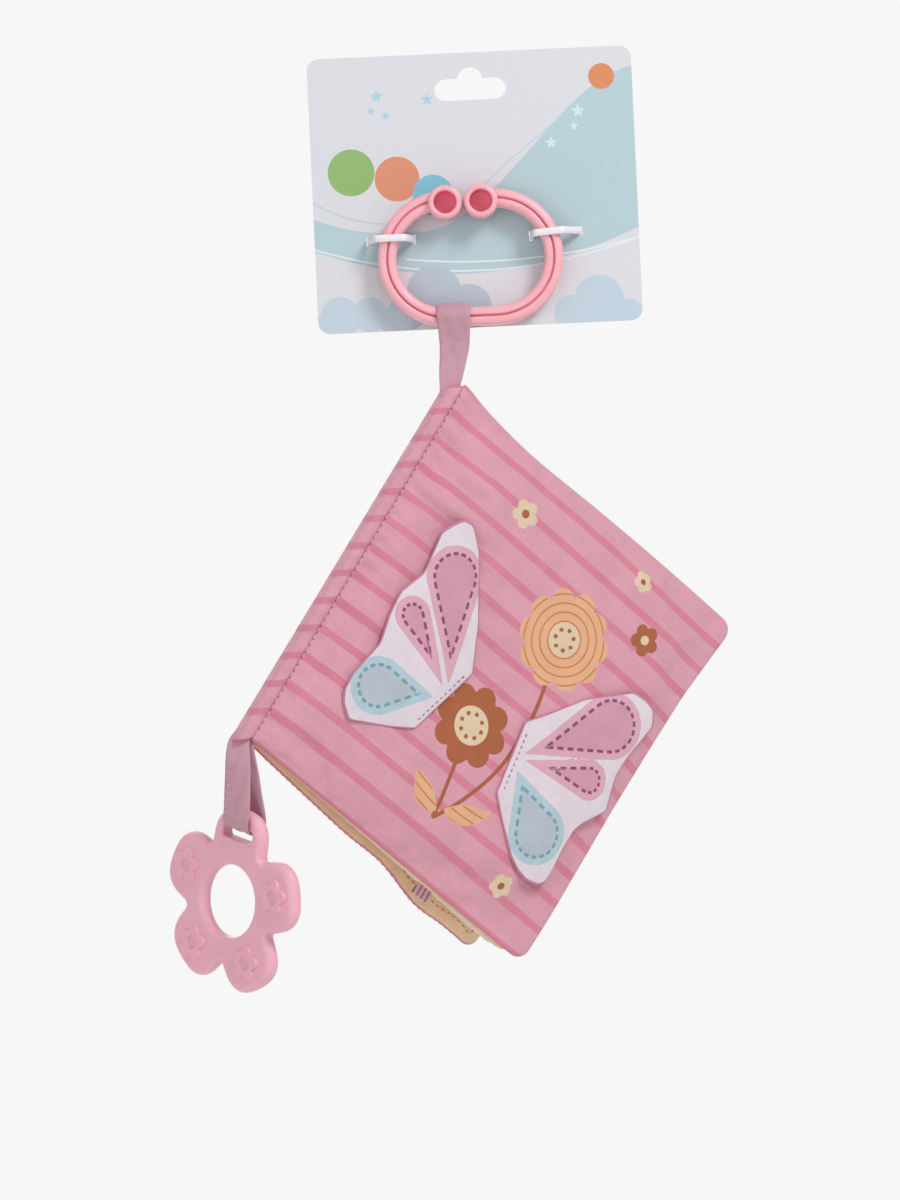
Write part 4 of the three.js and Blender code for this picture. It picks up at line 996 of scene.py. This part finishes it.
# Injection-moulded plastic: smooth and softly glossy, with faint flow marks.
def plasticMaterial(name, colour, roughness, **own):
    material, tree = newMaterial(name)
    place = add(tree, "TexCoord", out=3)
    mottle = add(tree, "TexNoise", place, named={"Scale": 900.0, "Detail": 2.0})
    wear = add(tree, "TexNoise", place, named={"Scale": 60.0, "Detail": 3.0})
    rough = add(tree, "MapRange", wear, 0.3, 0.7, roughness - 0.04, roughness + 0.05)
    shade = add(tree, "MapRange", wear, 0.3, 0.7, 0.985, 1.015)
    tone = add(tree, "HueSaturation", named={"Value": shade, "Color": linear(colour)})
    surface(tree, tone, rough, mottle, 0.00001, **own)
    return material


ringPlastic = plasticMaterial(
    "moulded polypropylene, pink", "#F6B2BD", 0.3, IOR=1.49, Subsurface_Weight=0.12, Subsurface_Scale=0.002
)
# The groove's floor and the studs' bore floors get darker pinks: painted shade where these hollows get less light.
groovePlastic = plasticMaterial("moulded polypropylene, shaded groove", "#E58594", 0.45, IOR=1.49)
recessShadePlastic = plasticMaterial("moulded polypropylene, painted recess shade", "#F690A6", 0.4, IOR=1.49)


def ringArm(bm):
    w, d, r, g = ring["width"] / 2, ring["depth"] / 2, ring["rounding"], ring["groove"] / 2
    section = [(x + r * c, y + r * s) for x, y, c, s in cornerArcs(w - r, d - r)]
    lip, bottom = (ring["grooveLip"], -d + ring["grooveEdge"]), -d + ring["grooveDepth"]
    section += [(-g - lip[0], -d), (-g, lip[1]), (-g, bottom), (g, bottom), (g, lip[1]), (g + lip[0], -d)]
    wall = ring["wallShare"] * ring["knob"] / 2  # the arms end inside the studs' walls
    startX = -ring["shift"] + ring["spacing"] / 2 + wall
    endX = -ring["shift"] - ring["spacing"] / 2 - wall
    start = chain(bm, [(startX, ringMiddle + y, ring["bend"] + x) for x, y in section])

    def straight(geom, reach, steps):
        for _ in range(steps):
            made = bmesh.ops.extrude_edge_only(
                bm, edges=[g for g in geom if isinstance(g, bmesh.types.BMEdge)]
            )["geom"]
            fresh = [g for g in made if isinstance(g, bmesh.types.BMVert)]
            bmesh.ops.translate(bm, verts=fresh, vec=(reach / steps, 0, 0))
            geom = fresh + [g for g in made if isinstance(g, bmesh.types.BMEdge) and all(v in fresh for v in g.verts)]
        return geom

    side = ring["straight"] / 2
    geom = straight(start, side - startX, 1)
    short = math.asin((-side - endX) / ring["bend"])
    for way, angle in ((1, math.pi), (-1, math.pi - short)):
        geom = bmesh.ops.spin(
            bm, geom=geom, cent=(way * side, 0, 0), axis=(0, 1, 0), dvec=(0, 0, 0), angle=angle, steps=44,
            use_duplicate=False,
        )["geom_last"]
        if way == 1:
            geom = straight(geom, -ring["straight"], 8)
    bmesh.ops.remove_doubles(bm, verts=bm.verts, dist=1e-4)
    bmesh.ops.holes_fill(bm, edges=[e for e in bm.edges if e.is_boundary], sides=0)
    bmesh.ops.recalc_face_normals(bm, faces=bm.faces)
    for f in bm.faces:
        middle = f.calc_center_median()
        reach = math.hypot(max(abs(middle.x) - side, 0), middle.z) - ring["bend"]
        deep = ringMiddle - d + 0.5 < middle.y < ringMiddle - d + ring["grooveDepth"] + 0.3
        f.material_index = 1 if abs(reach) < g + 0.1 and deep else 0


bm = bmesh.new()
ringArm(bm)
for side in (-1, 1):
    r, b, lip = ring["knob"] / 2, ring["bore"] / 2, ring["rim"]
    front, floor = ringBack - ring["length"], ringBack - ring["floor"]
    line = [(0.01, floor), (b - 0.6, floor), (b - 0.15, floor - 0.2), (b, floor - 0.8)]
    line += [
        (b + lip / 2 * (1 - math.cos(math.radians(t))), front + lip / 2 - lip / 2 * math.sin(math.radians(t)))
        for t in range(0, 91, 15)
    ]
    line += [
        (r - lip + lip * math.sin(math.radians(t)), front + lip - lip * math.cos(math.radians(t)))
        for t in range(0, 91, 15)
    ]
    line += [(r, ringBack - lip / 2), (r - 0.15, ringBack - 0.2), (r - lip / 2, ringBack), (0.01, ringBack)]
    centre = Vector((-ring["shift"] + side * ring["spacing"] / 2, 0, ring["bend"] - ring["sink"]))
    before = set(bm.faces)
    spinRound(bm, chain(bm, [centre + Vector((x, y, 0)) for x, y in line], closed=False), centre, 56)
    fresh = [f for f in bm.faces if f not in before]
    bmesh.ops.remove_doubles(bm, verts=list({v for f in fresh for v in f.verts}), dist=0.02)
    fresh = [f for f in bm.faces if f not in before]
    bmesh.ops.recalc_face_normals(bm, faces=fresh)
    for f in fresh:
        middle = f.calc_center_median() - centre
        deep = middle.y > front + lip / 2 and math.hypot(middle.x, middle.z) < b + 0.1
        # faces on a bore's floor take the painted shade of the recess
        f.material_index = 2 if deep and middle.y < floor + 0.1 else 0
linkRing = settle(bm, "linkRingMoulding", ringPlace, [ringPlastic, groovePlastic, recessShadePlastic], "display")
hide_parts("link_ring")
print("ring made")

# Ties: ribbed straps through the card, with a small ratchet head behind it.
tie = {
    "width": 2.6, "thick": 1.1, "rise": 8.1, "leftSpan": 16, "rightSpan": 17.5, "rightShift": 2.8, "rightTilt": -3.5,
    "head": (5, 3.5, 4), "rib": 0.9
}
tiePlastic = plasticMaterial(
    "natural nylon", "#EFE9F0", 0.32, IOR=1.53, Subsurface_Weight=0.15, Subsurface_Scale=0.001
)


def roundedLine(points, radius, steps=5):
    made = []
    p = [Vector(q) for q in points]
    for k, here in enumerate(p):
        before, after = p[k - 1], p[(k + 1) % len(p)]
        one, two = (before - here), (after - here)
        reach = min(radius, one.length * 0.45, two.length * 0.45)
        start, end = here + one.normalized() * reach, here + two.normalized() * reach
        for s in range(steps + 1):
            t = s / steps
            made.append(start * (1 - t) ** 2 + here * 2 * t * (1 - t) + end * t * t)
    return made


def makeTie(name, node, x, arm, span, tilt):
    across = math.sqrt(ring["bend"] ** 2 - tie["rise"] ** 2)
    reach = ring["width"] / 2 * ring["bend"] / across + tie["rise"] / across * tie["width"] / 2 + 2 * gap + tie[
        "thick"
    ] / 2
    backY = display["cardHalf"] + gap + tie["thick"] / 2
    bend = -(display["cardHalf"] + display["standOff"] / 2)
    frontY = ringBack - ring["depth"] - gap - tie["thick"] / 2
    low, high = max(-span / 2, arm - reach), min(span / 2, arm + reach)
    line = roundedLine(
        [(-span / 2, backY), (-span / 2, bend), (low, frontY), (high, frontY), (span / 2, bend), (span / 2, backY)],
        1.6
    )
    loop = evenLoop([(p.x, p.y) for p in line], 220, 1)
    side = sideways(loop)
    side *= np.sign(((loop.mean(0) - loop) * side).sum(1))[:, None]
    run = runAlong(loop)
    w, t = tie["width"] / 2, tie["thick"] / 2
    rows = []
    for k in range(len(loop)):
        rib = 0.1 * (0.5 + 0.5 * math.sin(2 * math.pi * run[k] / tie["rib"]))
        fill = 0.24 * min(1, max(0, (loop[k][1] + 1.1) / 0.6))  # fills the slit it passes through
        row = []
        for u, v in (
            (-w, -t * 0.4), (-w * 0.86, -t + rib), (w * 0.86, -t + rib), (w, -t * 0.4), (w, t * 0.5), (w * 0.8, t),
            (-w * 0.8, t), (-w, t * 0.5)
        ):
            p = loop[k] + side[k] * (v + math.copysign(fill, v))
            row.append((p[0], p[1], u + math.copysign(fill, u)))
        rows.append(row)
    bm = bmesh.new()
    skin(bm, rows, around=True, along=True)
    head = bmesh.ops.create_cube(bm, size=1)["verts"]
    bmesh.ops.scale(bm, verts=head, vec=tie["head"])
    bmesh.ops.translate(bm, verts=head, vec=(0, display["cardHalf"] + gap + tie["head"][1] / 2, 0))
    bmesh.ops.bevel(
        bm, geom=list({e for v in head for e in v.link_edges}), offset=0.5, offset_type="OFFSET", segments=3,
        profile=0.5, affect="EDGES", material=-1
    )
    shift = Matrix.Translation(Vector((x, 0, tie["rise"])) * millimetre)
    made = settle(bm, name, ringPlace @ shift @ Matrix.Rotation(math.radians(tilt), 4, "Y"), [tiePlastic], "display")
    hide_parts(node)


armPlace = ring["straight"] / 2 + math.sqrt(ring["bend"] ** 2 - tie["rise"] ** 2)
makeTie("leftTieStrap", "left_tie", -armPlace, 0, tie["leftSpan"], 0)
makeTie(
    "rightTieStrap", "right_tie", armPlace + tie["rightShift"], -tie["rightShift"], tie["rightSpan"], tie["rightTilt"]
)
print("ties made")

# Ribbons: one length of tape round a bar, its two layers held together and tucked into the spine.
ribbon = {
    "width": 12, "thick": 0.55, "topLoop": 4.65, "topTack": 10.5, "tackWidth": 10.8, "topNeck": 8.4,
    "teetherLoop": 4.1, "teetherWidth": 13, "teetherNeck": 7.4, "tuck": 4.5
}
topBar = Vector((-5.990, -6.05, -83.505))
spineTop = Vector((-6.200, -6.05, -108.605))
spineBottom = Vector((-80.845, -46.242, -234.766))
teetherBarPoint = Vector((-79.205, -47.052, -262.406))
ribbonCloth = clothMaterial("woven satin ribbon", plainPaint("#CB9BAA"), thread=0.4, fuzz=0.1, relief=0.00006)
spineUp = bookTurn.to_3x3() @ Vector((0, 0, 1))
spineAcross = Vector((math.cos(math.radians(book["yaw"])), math.sin(math.radians(book["yaw"])), 0))
spineAlong = bookTurn.to_3x3() @ Vector((1, 0, 0))


# Stations of a strand are its middle point, the way its width runs, and its width.
def strand(stations, count, rounds=8):
    table = np.array([[*p, *across, width] for p, across, width in stations])
    run = runAlong(table[:, :3])
    t = np.linspace(0, run[-1], count)
    line = np.stack([np.interp(t, run, table[:, k]) for k in range(7)], -1)
    for _ in range(rounds):
        line[1:-1] = 0.5 * line[1:-1] + 0.25 * (line[2:] + line[:-2])
    return line


# The tape's rows: down the front strand from the spine, round the bar, and back up the rear strand.
def ribbonRows(radius, width, turn, towards, bar, layers):
    turn = turn.to_3x3()
    mid = radius + ribbon["thick"] / 2
    arc = []
    for k in range(25):
        angle = math.pi * k / 24
        out = Vector((0, -mid * math.cos(angle), -towards * mid * math.sin(angle)))
        arc.append([*(bar + turn @ out), *(turn @ Vector((1, 0, 0))), width])
    strands = []
    for layer, stations in zip((-1, 1), layers):
        start = (bar + turn @ Vector((0, layer * mid, 0)), turn @ Vector((1, 0, 0)), width)
        strands.append(strand([start] + stations, 34))
    return np.vstack([strands[0][:0:-1], arc, strands[1][1:]])


def makeRibbon(name, table):
    points = table[:, :3]
    ahead = np.gradient(points, axis=0)
    out = np.cross(table[:, 3:6], ahead)
    out /= np.linalg.norm(out, axis=1)[:, None]
    run = runAlong(points)
    rows, flats = [], []
    n = 14
    for k, line in enumerate(table):
        row, flat = [], []
        for side, steps in ((1, range(n + 1)), (-1, range(n, -1, -1))):
            for s in steps:
                u = (s / n - 0.5) * line[6]
                wave = 0.16 * math.sin(u * 1.1 + run[k] / 3.2) + 0.1 * math.sin(run[k] / 2.1)
                thin = side * ribbon["thick"] / 2 * (1 if 0 < s < n else 0.4)
                across = Vector(line[3:6]).normalized()
                row.append(points[k] + np.array(across) * u + out[k] * (thin + wave))
                flat.append((u, 0 if side == 1 else 3, run[k]))
        rows.append(row)
        flats.append(flat)
    bm = newMesh()
    skin(bm, rows, flat=flats)
    made = settle(bm, name, Matrix.Identity(4), [ribbonCloth])
    return made, out


displayTurn = displayPlace.to_3x3()
tackPoint = topBar + displayTurn @ Vector((0, 0, -ribbon["topTack"]))
topEnd = spineTop - spineUp * ribbon["tuck"] + Vector((0.6, 0, 0))
halfway = displayTurn @ Vector((1, 0, 0)) * 0.45 + spineAcross * 0.55
layers = []
for layer in (-1, 1):
    off = displayTurn @ Vector((0, layer * 0.32, 0))
    layers.append([
        (tackPoint + off, displayTurn @ Vector((1, 0, 0)), ribbon["tackWidth"]),
        (tackPoint.lerp(topEnd, 0.6) + off, halfway, ribbon["topNeck"] + 0.4),
        (topEnd + off, spineAcross, ribbon["topNeck"] - 1.4),
    ])
topTable = ribbonRows(ribbon["topLoop"], ribbon["width"], displayPlace, -1, topBar, layers)
topRibbon, topOut = makeRibbon("topRibbonTape", topTable)
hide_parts("top_ribbon")
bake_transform(topRibbon)

# Stitches near a ribbon's left edge, over the part of its front strand that is let through.
def edgeStitches(name, table, outs, body, part):
    line, outs = table[:34][::-1], outs[:34][::-1]
    outs = outs * np.sign(-outs[:, 1:2])
    kept = part(line[:, 2])
    points = line[kept, :3] - line[kept, 3:6] * (line[kept, 6:7] / 2 - 1.5) + outs[kept] * 0.36
    made = makeStitches(name, points, outs[kept], body, paleThread, Matrix.Identity(4), pitch=2.3, thick=0.38)
    return line, outs


# Two rows across the ribbon at its tack
frontPart, outPart = edgeStitches(
    "topRibbonEdgeStitches", topTable, topOut, "top_ribbon", lambda z: z > tackPoint.z - 0.5
)
for row, drop in enumerate((-0.2, 1.5)):
    spot = int(np.argmin(abs(frontPart[:, 2] - (tackPoint.z - drop))))
    here, across, width = frontPart[spot, :3], frontPart[spot, 3:6], frontPart[spot, 6]
    shares = np.linspace(-0.46, 0.46, 20)[:, None]
    rise = np.array((0, 0, 1)) * (0.9 * shares + 0.25 * np.sin(shares * 9))
    line = here + across * width * shares + outPart[spot] * 0.36 + rise
    makeStitches(
            "topRibbonTackStitches" + str(row + 1), line, np.tile(outPart[spot], (20, 1)), "top_ribbon", paleThread,
            Matrix.Identity(4), pitch=1.7, share=0.75, thick=0.4
        )

# Teether
teetherShape = {
    "yaw": -43, "roll": 12, "petals": 5, "petalRadius": 12.5, "petalPlace": 20.5, "square": 2.7, "bore": 25.4,
    "thick": 5.6, "rounding": 2.6,
    "slotWidth": 15, "slotHeight": 4.2, "slotCorner": 1.4, "bar": 6.6, "emblemPlace": 23.4, "emblem": 6.1,
    "waist": 4.1,
}
teetherTurn = Matrix.Rotation(math.radians(teetherShape["yaw"]), 4, "Z") @ Matrix.Rotation(
    math.radians(teetherShape["roll"]), 4, "Y"
)
teetherReach = teetherShape["petalPlace"] + teetherShape["petalRadius"]
teetherCentre = teetherBarPoint + teetherTurn @ Vector((0, 0, -(teetherReach - teetherShape["bar"] / 2)))
teetherPlace = Matrix.Translation(teetherCentre * millimetre) @ teetherTurn
lowEnd = spineBottom + spineUp * ribbon["tuck"]
turnAcross = teetherTurn.to_3x3() @ Vector((1, 0, 0))
turnThrough = teetherTurn.to_3x3() @ Vector((0, 1, 0))
layers = []
for layer in (-1, 1):
    near = spineBottom + turnThrough * layer * 0.9
    layers.append([
        (teetherBarPoint.lerp(near, 0.4) + turnThrough * layer * 2.2, turnAcross * 0.85 + spineAcross * 0.15, 11.4),
        (teetherBarPoint.lerp(near, 0.7) + turnThrough * layer * 1.1, turnAcross * 0.65 + spineAcross * 0.35, 9.4),
        (near, turnAcross * 0.45 + spineAcross * 0.55, ribbon["teetherNeck"]),
        (lowEnd + turnThrough * layer * 0.5, turnAcross * 0.3 + spineAcross * 0.7, ribbon["teetherNeck"] - 1.6),
    ])
lowTable = ribbonRows(ribbon["teetherLoop"], ribbon["teetherWidth"], teetherTurn, 1, teetherBarPoint, layers)
teetherRibbon, lowOut = makeRibbon("teetherRibbonTape", lowTable)
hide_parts("teether_ribbon")
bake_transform(teetherRibbon)
edgeStitches("teetherRibbonEdgeStitches", lowTable, lowOut, "teether_ribbon", lambda z: z < spineBottom.z - 6.5)
print("ribbons made")

siliconeRubber = plasticMaterial(
    "moulded silicone rubber, satin", "#F0B2C2", 0.4, IOR=1.41, Subsurface_Weight=0.06, Subsurface_Scale=0.001
)


def teetherMesh():
    s = teetherShape
    angles = np.linspace(0, 2 * math.pi, 400, endpoint=False)
    step = 2 * math.pi / s["petals"]
    within = (angles + step / 2) % step - step / 2
    rays = np.linspace(15, teetherReach, 1500)[:, None]  # each petal is a square with very round corners
    out, across = (
        rays * np.cos(within) - s["petalPlace"]
    ) / s["petalRadius"], rays * np.sin(within) / s["petalRadius"]
    reach = np.where(np.abs(out) ** s["square"] + np.abs(across) ** s["square"] <= 1, rays, 0).max(axis=0)
    outline = evenLoop(np.stack([-reach * np.sin(angles), reach * np.cos(angles)], -1), 320, 6)
    direction = outline / np.linalg.norm(outline, axis=1)[:, None]
    rounding, halfThick = s["rounding"], s["thick"] / 2
    quarter = [math.radians(t) for t in range(0, 91, 10)]
    outer = [(rounding * (1 - math.sin(t)), halfThick - rounding * (1 - math.cos(t))) for t in quarter]
    rings = []
    for inset, depth in outer:
        rings.append((smoothed(outline + sideways(outline) * inset, int(inset * 4)), -depth))
    rings += [(loop, -depth) for loop, depth in rings[::-1]]
    inner = [(direction * (s["bore"] / 2 + inset), depth) for inset, depth in outer]
    flatBack = [(rings[-1][0] * (1 - t) + inner[0][0] * t, halfThick) for t in (0.25, 0.5, 0.75)]
    flatFront = [(inner[0][0] * (1 - t) + rings[0][0] * t, -halfThick) for t in (0.25, 0.5, 0.75)]
    rings += flatBack + inner + [(loop, -depth) for loop, depth in inner[::-1]] + flatFront
    bm = bmesh.new()
    skin(bm, [np.stack([loop[:, 0], np.full(len(loop), depth), loop[:, 1]], -1) for loop, depth in rings], along=True)
    return bm


teether = settle(teetherMesh(), "teetherMoulding", teetherPlace, [siliconeRubber])
w, h, c = teetherShape["slotWidth"] / 2, teetherShape["slotHeight"] / 2, teetherShape["slotCorner"]
corners = cornerArcs(w - c, h - c)
flare = 0.9
slotZ = teetherReach - teetherShape["bar"] - h
mouth = [
    (teetherShape["thick"] / 2 - flare * (1 - math.cos(math.radians(t))), flare * (1 - math.sin(math.radians(t))))
    for t in (0, 22, 45, 67, 90)
]
depths = [(-6, flare)] + [(-y, grow) for y, grow in mouth] + mouth[::-1] + [(6, flare)]
bm = bmesh.new()
skin(bm, [[(x + (c + grow) * cx, y, slotZ + z + (c + grow) * cz) for x, z, cx, cz in corners] for y, grow in depths])
carve(teether, settle(bm, "slotCutter", teetherPlace, [siliconeRubber]))
bm = bmesh.new()
bm.from_mesh(teether.data)
turns = np.linspace(0, 2 * math.pi, 100, endpoint=False)
emblemLifts = (
    (0.3, -0.4), (0.22, 0.0), (0.16, 0.15), (0.1, 0.6), (0.02, 0.88), (-0.12, 1.0), (-0.3, 1.02), (-0.6, 0.98),
    (-0.9, 0.96)
)
heartLifts = (
    (3.0, 0.96), (2.85, 1.0), (2.65, 1.02), (2.5, 0.95), (2.42, 0.7), (2.36, 0.35), (2.28, 0.22), (1.9, 0.2),
    (0.3, 0.2)
)
for k in range(1, teetherShape["petals"]):
    s = teetherShape
    angle = math.pi / 2 + k * 2 * math.pi / s["petals"]
    cx, cz = s["emblemPlace"] * math.cos(angle), s["emblemPlace"] * math.sin(angle)
    reach = s["waist"] + (s["emblem"] - s["waist"]) * np.abs(np.cos(s["petals"] * turns / 2)) ** 1.15
    rings = [(reach + grow, lift) for grow, lift in emblemLifts] + [(np.full(100, r), lift) for r, lift in heartLifts]
    tiny = bmesh.new()
    skin(
        tiny,
        [
            np.stack(
                [cx + r * np.sin(turns), np.full(100, -s["thick"] / 2 - lift), cz + r * np.cos(turns)], -1
            ) for r,
            lift in rings
        ]
    )
    tiny.transform(teetherPlace @ Matrix.Scale(millimetre, 4))
    part = bpy.data.meshes.new("part")
    tiny.to_mesh(part)
    tiny.free()
    bm.from_mesh(part)
    bpy.data.meshes.remove(part)
bm.to_mesh(teether.data)
bm.free()
teether.data.materials.clear()
teether.data.materials.append(siliconeRubber)
teether.data.shade_smooth()
flatFaces = teether.modifiers.new("flat faces", "WEIGHTED_NORMAL")
flatFaces.mode, flatFaces.weight, flatFaces.keep_sharp = "FACE_AREA", 60, True
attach(teether, "teether")
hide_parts("teether")
print("teether made")

# Card: coated board with a printed sky; places are in the card's own plane, from the hang slot's centre.
card = {
    "ground": "#D9DADF", "back": "#D6D2CC", "wave": "#B3CCD2", "swoosh": "#E2EBEF", "line": "#B7CFDA",
    "cloud": "#BFD0DC", "deepCloud": "#B5C3CE",
    "discs": [
        ((-44.6, -28.5), 8.5, "#8DB56B"), ((-28.0, -31.5), 8.15, "#DB8E6E"), ((-15.2, -37.9), 7.4, "#7FC0D2"),
        ((47.8, 2.5), 4.7, "#D98A5A")
    ],
    "clouds": [
        ((-50.8, -80.7), 7.3), ((-40, -80.4), 6.4), ((-30.7, -82.9), 6), ((-59.1, -85.1), 5.1), ((43.4, -78.6), 9),
        ((33.7, -83.3), 6.9), ((53.4, -85.1), 6.4)
    ],
    "deepClouds": [((-16.5, -73.3), 9.9), ((-3.9, -79), 8.2), ((-26.2, -79.7), 6.9)],
    "stars": [
        ((-34.2, -1.2), 2.1, "#A9CDE0"), ((-15.8, -3.1), 2.0, "#A9CDE0"), ((-36.4, -6.5), 1.4, "#A9CDE0"),
        ((-31.1, -8.5), 1.5, "#A9CDE0"), ((38.8, -9.7), 2.2, "#D3E4E8"), ((37.1, -15.2), 1.5, "#D3E4E8"),
        ((28.6, -20.8), 2.1, "#D3E4E8")
    ],
}


def cardMaterial():
    material, tree = newMaterial("coated card, printed sky")
    place = add(tree, "TexCoord", out=3)
    tilt = -math.radians(display["tilt"])
    level = add(tree, "Mapping", place, (0, 0, 0), (0, tilt, 0), (1000, 1000, 1000))
    parts = add(tree, "SeparateXYZ", level).node
    x, y, z = parts.outputs
    flat = add(tree, "CombineXYZ", x, 0.0, z)
    smooth = add(tree, "MapRange", x, -20.0, 62.0, 0.0, 57.0, interpolation_type="SMOOTHSTEP")
    left = add(tree, "Math MINIMUM", add(tree, "Math ADD", x, 31.0), 0.0)
    upper = add(
        tree, "Math MULTIPLY_ADD", add(tree, "Math MULTIPLY", left, left), 0.008, add(tree, "Math ADD", smooth, -51.0)
    )
    right = add(tree, "Math ADD", x, 5.0)
    lower = add(tree, "Math MULTIPLY_ADD", add(tree, "Math MULTIPLY", right, right), 0.0035, -67.0)
    wave = add(tree, "Math MULTIPLY", add(tree, "Math LESS_THAN", z, upper), add(tree, "Math GREATER_THAN", z, lower))
    masks = [(wave, card["wave"])]
    # thin lines beside the wave, as curves with three numbers each
    for (p, q, r), start, stop, colour in (
        ((-0.003, 0.90055, -37.98), 1.0, 60.0, card["line"]),
        ((0.01188, 0.75389, -35.67), -60.0, -33.0, card["line"]),
        ((0.00282, -0.00466, -66.05), -60.0, 60.0, card["swoosh"]),
        ((0.0022, -0.02, -62.8), -26.0, 60.0, card["swoosh"]),
    ):
        curve = add(tree, "Math MULTIPLY_ADD", add(tree, "Math MULTIPLY_ADD", x, p, q), x, r)
        near = add(tree, "Math LESS_THAN", add(tree, "Math ABSOLUTE", add(tree, "Math SUBTRACT", z, curve)), 0.3)
        between = add(
            tree, "Math MULTIPLY", add(tree, "Math GREATER_THAN", x, start), add(tree, "Math LESS_THAN", x, stop)
        )
        masks.append((add(tree, "Math MULTIPLY", near, between), colour))
    spots = [
        (spot, r, card["deepCloud"]) for spot, r in card["deepClouds"]
    ] + [(spot, r, card["cloud"]) for spot, r in card["clouds"]] + card["discs"]
    for (cx, cz), r, colour in spots:
        masks.append(
            (add(tree, "Math LESS_THAN", add(tree, "VectorMath DISTANCE", flat, (cx, 0, cz), out=1), r), colour)
        )
    for (cx, cz), r, colour in card["stars"]:
        off = add(tree, "SeparateXYZ", add(tree, "VectorMath SUBTRACT", flat, (cx, 0, cz))).node
        points = add(
            tree, "Math COSINE",
            add(tree, "Math MULTIPLY", add(tree, "Math ARCTAN2", off.outputs[0], off.outputs[2]), 5.0)
        )
        reach = add(tree, "Math MULTIPLY_ADD", points, 0.28 * r, 0.72 * r)
        away = add(tree, "VectorMath DISTANCE", flat, (cx, 0, cz), out=1)
        masks.append((add(tree, "Math LESS_THAN", away, reach), colour))
    masks.append((add(tree, "Math GREATER_THAN", y, 0.0), card["back"]))
    ground = layOver(tree, linear(card["ground"]), masks)
    fibre = add(tree, "TexNoise", level, named={"Scale": 1.6, "Detail": 3.0})
    tone = add(tree, "MapRange", fibre, 0.3, 0.7, 0.985, 1.012)
    surface(
        tree, add(tree, "HueSaturation", named={"Value": tone, "Color": ground}), 0.46, fibre, 0.00001,
        Coat_Weight=0.15, Coat_Roughness=0.35
    )
    return material


# Striped woven tape: pink with dark warp lines along the tab.
tape = {"ground": "#EBBAC6", "warp": "#94667A", "pitch": 2.1, "line": 0.55}


def tapeMaterial():
    material, tree = newMaterial("woven striped tape")
    place = add(tree, "TexCoord", out=3)
    along = add(tree, "VectorMath DOT_PRODUCT", place, tuple(spineAlong * 1000), out=1)
    within = add(tree, "Math FLOORED_MODULO", along, tape["pitch"])
    mask = add(tree, "Math LESS_THAN", within, tape["line"])
    ground = layOver(tree, linear(tape["ground"]), [(mask, tape["warp"])])
    weave = add(tree, "TexNoise", place, named={"Scale": 2500.0, "Detail": 2.0})
    tone = add(tree, "MapRange", weave, 0.3, 0.7, 0.9, 1.06)
    surface(tree, add(tree, "HueSaturation", named={"Value": tone, "Color": ground}), 0.8, weave, 0.00005)
    return material


# Hard pieces that keep their solids.
filmPlastic = plasticMaterial("clear polyester film", "#E9E9EE", 0.2, Transmission_Weight=0.5)
mirrorFilm = plasticMaterial("metallised polyester mirror", "#D6DBE0", 0.06, Metallic=1.0)
squeakerPlastic = plasticMaterial("moulded polyethylene, ivory", "#F7F4EA", 0.4)
for node, material in {
    "header_card": cardMaterial(), "front_crinkle_film": filmPlastic, "back_crinkle_film": filmPlastic,
    "mirror_film": mirrorFilm, "squeaker_case": squeakerPlastic, "squeaker_reed": squeakerPlastic,
    "page_tab": tapeMaterial(),
}.items():
    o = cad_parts[node]
    o.data.materials.clear()
    o.data.materials.append(material)
print("hard pieces finished")

# Stage: a pale floor under a plain white sky, and soft light. Both look white to the camera and in reflections.
stage = {"floor": -0.45, "size": 8, "seen": "#F7F7F7", "paint": "#EDEDED", "sky": 0.45}


def seenAsWhite(tree):
    rays = add(tree, "LightPath").node
    direct = add(tree, "Math MAXIMUM", rays.outputs["Is Camera Ray"], rays.outputs["Is Glossy Ray"])
    return add(tree, "Math MAXIMUM", direct, rays.outputs["Is Transmission Ray"])


material, tree = newMaterial("painted studio floor")
glow = add(tree, "Emission", linear(stage["seen"]), 1.0)
add(
    tree, "OutputMaterial",
    add(tree, "MixShader", seenAsWhite(tree), add(tree, "BsdfDiffuse", linear(stage["paint"])), glow)
)
bm = bmesh.new()
bmesh.ops.create_grid(bm, x_segments=8, y_segments=8, size=stage["size"] / 2)
bmesh.ops.translate(bm, verts=bm.verts, vec=(0, 0, stage["floor"]))
mesh = bpy.data.meshes.new("floor")
bm.to_mesh(mesh)
bm.free()
mesh.materials.append(material)
floor = link("floor", mesh)

world = bpy.data.worlds.new("studio")
scene.world = world
world.use_nodes = True
tree = world.node_tree
tree.nodes.clear()
light, sky = add(
    tree, "Background", linear("#FFFFFF"), stage["sky"]
), add(tree, "Background", linear(stage["seen"]), 1.0)
add(tree, "OutputWorld", add(tree, "MixShader", seenAsWhite(tree), light, sky))
for name, place, target, size, power in (
    ("keyLight", (0.75, -1.0, 0.85), (0, 0, -0.2), 0.5, 13),
    ("fillLight", (-1.0, -1.2, -0.55), (0, 0, -0.25), 1.4, 9.8),
    ("backLight", (-0.7, 1.5, 0.6), (0, 0, -0.2), 1.2, 12),
):
    data = bpy.data.lights.new(name, "AREA")
    data.size, data.energy = size, power
    lamp = link(name, data)
    lamp.location = place
    lamp.rotation_euler = (Vector(target) - Vector(place)).to_track_quat("-Z", "Y").to_euler()
scene.view_settings.view_transform = "Standard"
print("stage and light set")
